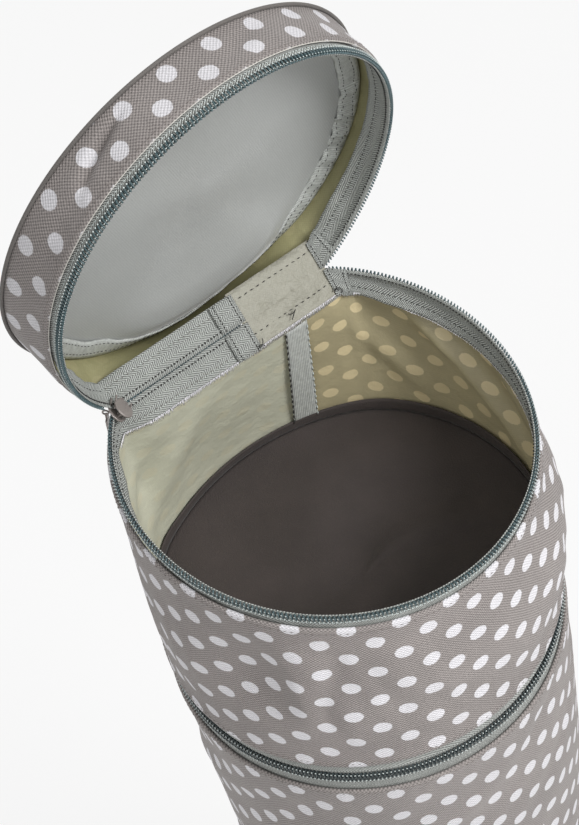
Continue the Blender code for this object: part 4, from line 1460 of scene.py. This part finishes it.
def slider_body(name, place):
    """A cast slider: two shield shaped plates with turned in edges, the post between them, and the bridge."""
    long, wide = sizes().slider_length, sizes().slider_width
    parts = []
    for side in (-1, 1):
        turned = (math.pi / 2, 0, math.pi / 12)
        plate = added(
            "cylinder", vertices=12, radius=0.5, depth=0.0011,
            location=(0, side * 0.0027, 0), rotation=turned, scale=(long, wide, 1),
        )
        edited(plate, "vertices", lambda vertex: vertex.co.x > 0.2 * long)
        bpy.ops.transform.resize(value=(1, 1, 0.72), center_override=(0, 0, 0))
        bpy.ops.object.mode_set(mode="OBJECT")
        parts.append(softened_edges(plate, 0.0005))
        for edge in (-1, 1):
            flange = (0.0012, side * 0.0021, edge * wide * 0.40)
            parts.append(soft_block(flange, (long * 0.62, 0.0011, 0.0009), 0.0003))
    parts.append(soft_block((-0.0036, 0, 0), (0.0020, 0.0050, 0.0010), 0.0003))
    size = {"major_radius": 0.0026, "minor_radius": 0.0006, "major_segments": 32, "minor_segments": 10}
    parts.append(added("torus", location=(0, 0.0030, 0), **size))
    return placed(joined(parts), name, place, painted_zinc)


def slider_pull(name, place):
    """A pull: an eye on the bridge, a short neck, and a rounded tag with a sunk face."""
    size = {"major_radius": 0.0016, "minor_radius": 0.0005, "major_segments": 24, "minor_segments": 10}
    eye = added("torus", location=(0, 0, -0.0010), rotation=(0, math.pi / 2, 0), **size)
    neck = soft_block((0, 0, -0.0042), (0.0022, 0.0011, 0.0036), 0.0004)
    tag = added("cube", size=1, location=(0, 0, -0.0105), scale=(0.0062, 0.0013, 0.0105))
    edited(tag, "polygons", lambda face: abs(face.normal.y) > 0.9)
    bpy.ops.mesh.inset(thickness=0.0011, depth=-0.0003, use_individual=True)
    bpy.ops.object.mode_set(mode="OBJECT")
    softened_edges(tag, 0.0004)
    return placed(joined([tag, neck, eye]), name, place, painted_zinc)


def slider_place(place, angle, lean):
    """The frame of a slider on a round zip: X along the zip, Y outwards, Z away from the opening."""
    across = Vector((math.cos(angle), math.sin(angle), 0))
    along = Vector((math.sin(angle), -math.cos(angle), 0))
    turned = Matrix((along, across, Vector((0, 0, 1)))).transposed().to_4x4()
    return place @ Matrix.Translation(across * CHAIN_RADIUS) @ turned @ Matrix.Rotation(lean, 4, "X")


class ORGANIZER_OT_sliders(bpy.types.Operator):
    """Model both zip sliders and their pulls"""

    bl_idname = "organizer.sliders"
    bl_label = "Sliders and pulls"

    def execute(self, context):
        angle = math.pi - CORNER_ANGLE + PARKING
        parked = slider_place(RIM_PLACE, angle, -SLIDER_LEAN)
        turned_in = Matrix.Rotation(math.radians(-34), 4, "X")
        place = parked @ Matrix.Translation((0.0079, -0.0040, 0.0)) @ turned_in
        sewn(slider_body("rim_zip_slider", place), "rim_slider", "rim_slider")
        upright = slider_place(RIM_PLACE, angle, 0).to_3x3().to_4x4()
        hang = Matrix.Translation(parked @ Vector((0.0075, 0.0040, 0))) @ upright
        hang = hang @ Matrix.Rotation(math.radians(-4), 4, "X")
        sewn(slider_pull("rim_zip_pull", hang), "rim_slider_pull", "rim_slider_pull")
        place = slider_place(Matrix.Translation((0, 0, TUBE_HEIGHT)), LOWER_SLIDER_ANGLE, 0)
        sewn(slider_body("lower_zip_slider", place), "lower_slider", "lower_slider")
        hang = place @ Matrix.Translation((0, 0.0060, 0)) @ Matrix.Rotation(math.radians(2), 4, "X")
        sewn(slider_pull("lower_zip_pull", hang), "lower_slider_pull", "lower_slider_pull")
        return {"FINISHED"}


def seen_directly(tree):
    """1 for what the camera sees by itself, in a gloss or through something clear, 0 for light."""
    path = add_node(tree, "LightPath").node
    direct = (path.outputs["Is Camera Ray"], path.outputs["Is Glossy Ray"])
    seen = add_node(tree, "Math", direct, operation="MAXIMUM")
    return add_node(tree, "Math", (seen, path.outputs["Is Transmission Ray"]), operation="MAXIMUM")


class ORGANIZER_OT_stage(bpy.types.Operator):
    """Set the floor, the soft studio light and the camera"""

    bl_idname = "organizer.stage"
    bl_label = "Stage"

    def execute(self, context):
        bpy.ops.object.select_all(action="DESELECT")
        bpy.ops.mesh.primitive_plane_add(size=60, location=(0, 0, 0))
        floor = bpy.context.object
        floor.name = "studio_floor"
        material, tree, shader = new_material("pale_floor", 0.9)
        shader.inputs["Base Color"].default_value = tone(linear("#F4F4F4"), 1)
        glow = add_node(tree, "Emission", ((1, 1, 1, 1), 1.0))
        share = add_node(tree, "Math", (seen_directly(tree), 0.8), operation="MULTIPLY")
        mixed = add_node(tree, "MixShader", (share, shader.outputs[0], glow))
        tree.links.new(mixed, tree.nodes["Material Output"].inputs["Surface"])
        floor.data.materials.append(material)

        lamps = (
            ("key_light", (1.20, -0.75, 2.15), (0.0, 0.0, 0.85), 0.9, 29),
            ("fill_light", (-0.7, -1.7, 1.8), (0.0, 0.0, 0.9), 1.4, 7),
            ("back_light", (-0.5, 1.6, 2.2), (0.0, 0.0, 0.9), 1.2, 9),
        )
        for name, place, target, size, power in lamps:
            bpy.ops.object.light_add(type="AREA", location=place)
            lamp = bpy.context.object
            lamp.name = name
            lamp.data.shape = "DISK"
            lamp.data.size = size
            lamp.data.energy = power
            aim = Vector(target) - Vector(place)
            lamp.rotation_euler = aim.to_track_quat("-Z", "Y").to_euler()

        world = bpy.data.worlds.new("studio")
        context.scene.world = world
        world.use_nodes = True
        tree = world.node_tree
        background = tree.nodes["Background"]
        strength = add_node(tree, "Math", (seen_directly(tree), 0.56, 0.44), operation="MULTIPLY_ADD")
        background.inputs["Color"].default_value = (1, 1, 1, 1)
        tree.links.new(strength, background.inputs["Strength"])

        bpy.ops.object.camera_add(location=CAMERA_PLACE)
        camera = bpy.context.object
        camera.name = "photo_camera"
        camera.data.lens = CAMERA_LENS
        camera.data.sensor_width = 36
        forward = Vector((0, math.cos(CAMERA_DOWN), -math.sin(CAMERA_DOWN)))
        upright = Vector((0, math.sin(CAMERA_DOWN), math.cos(CAMERA_DOWN)))
        level = Vector((1, 0, 0))
        right = level * math.cos(CAMERA_ROLL) + upright * math.sin(CAMERA_ROLL)
        top = upright * math.cos(CAMERA_ROLL) - level * math.sin(CAMERA_ROLL)
        camera.rotation_euler = Matrix((right, top, -forward)).transposed().to_euler()
        context.scene.camera = camera
        context.scene.view_settings.view_transform = "Standard"
        return {"FINISHED"}


class ORGANIZER_PT_panel(bpy.types.Panel):
    bl_label = "Gift wrap organizer"
    bl_idname = "ORGANIZER_PT_panel"
    bl_space_type = "VIEW_3D"
    bl_region_type = "UI"
    bl_category = "Organizer"

    def draw(self, context):
        for operator in OPERATORS:
            self.layout.operator(operator.bl_idname)
        for group in (context.scene.organizer_sizes, context.scene.organizer_colours):
            for name in type(group).__annotations__:
                self.layout.prop(group, name)


OPERATORS = (
    ORGANIZER_OT_stage,
    ORGANIZER_OT_tube,
    ORGANIZER_OT_base,
    ORGANIZER_OT_compartment,
    ORGANIZER_OT_lid,
    ORGANIZER_OT_zips,
    ORGANIZER_OT_zip_ends,
    ORGANIZER_OT_raw_edges,
    ORGANIZER_OT_sliders,
)
CLASSES = (OrganizerSizes, OrganizerColours, *OPERATORS, ORGANIZER_PT_panel)


def register():
    for item in CLASSES:
        bpy.utils.register_class(item)
    bpy.types.Scene.organizer_sizes = bpy.props.PointerProperty(type=OrganizerSizes)
    bpy.types.Scene.organizer_colours = bpy.props.PointerProperty(type=OrganizerColours)


def unregister():
    del bpy.types.Scene.organizer_colours
    del bpy.types.Scene.organizer_sizes
    for item in reversed(CLASSES):
        bpy.utils.unregister_class(item)


def main():
    register()
    bpy.ops.object.select_all(action="DESELECT")
    for operator in OPERATORS:
        group, name = operator.bl_idname.split(".")
        getattr(getattr(bpy.ops, group), name)()


if __name__ == "__main__":
    main()
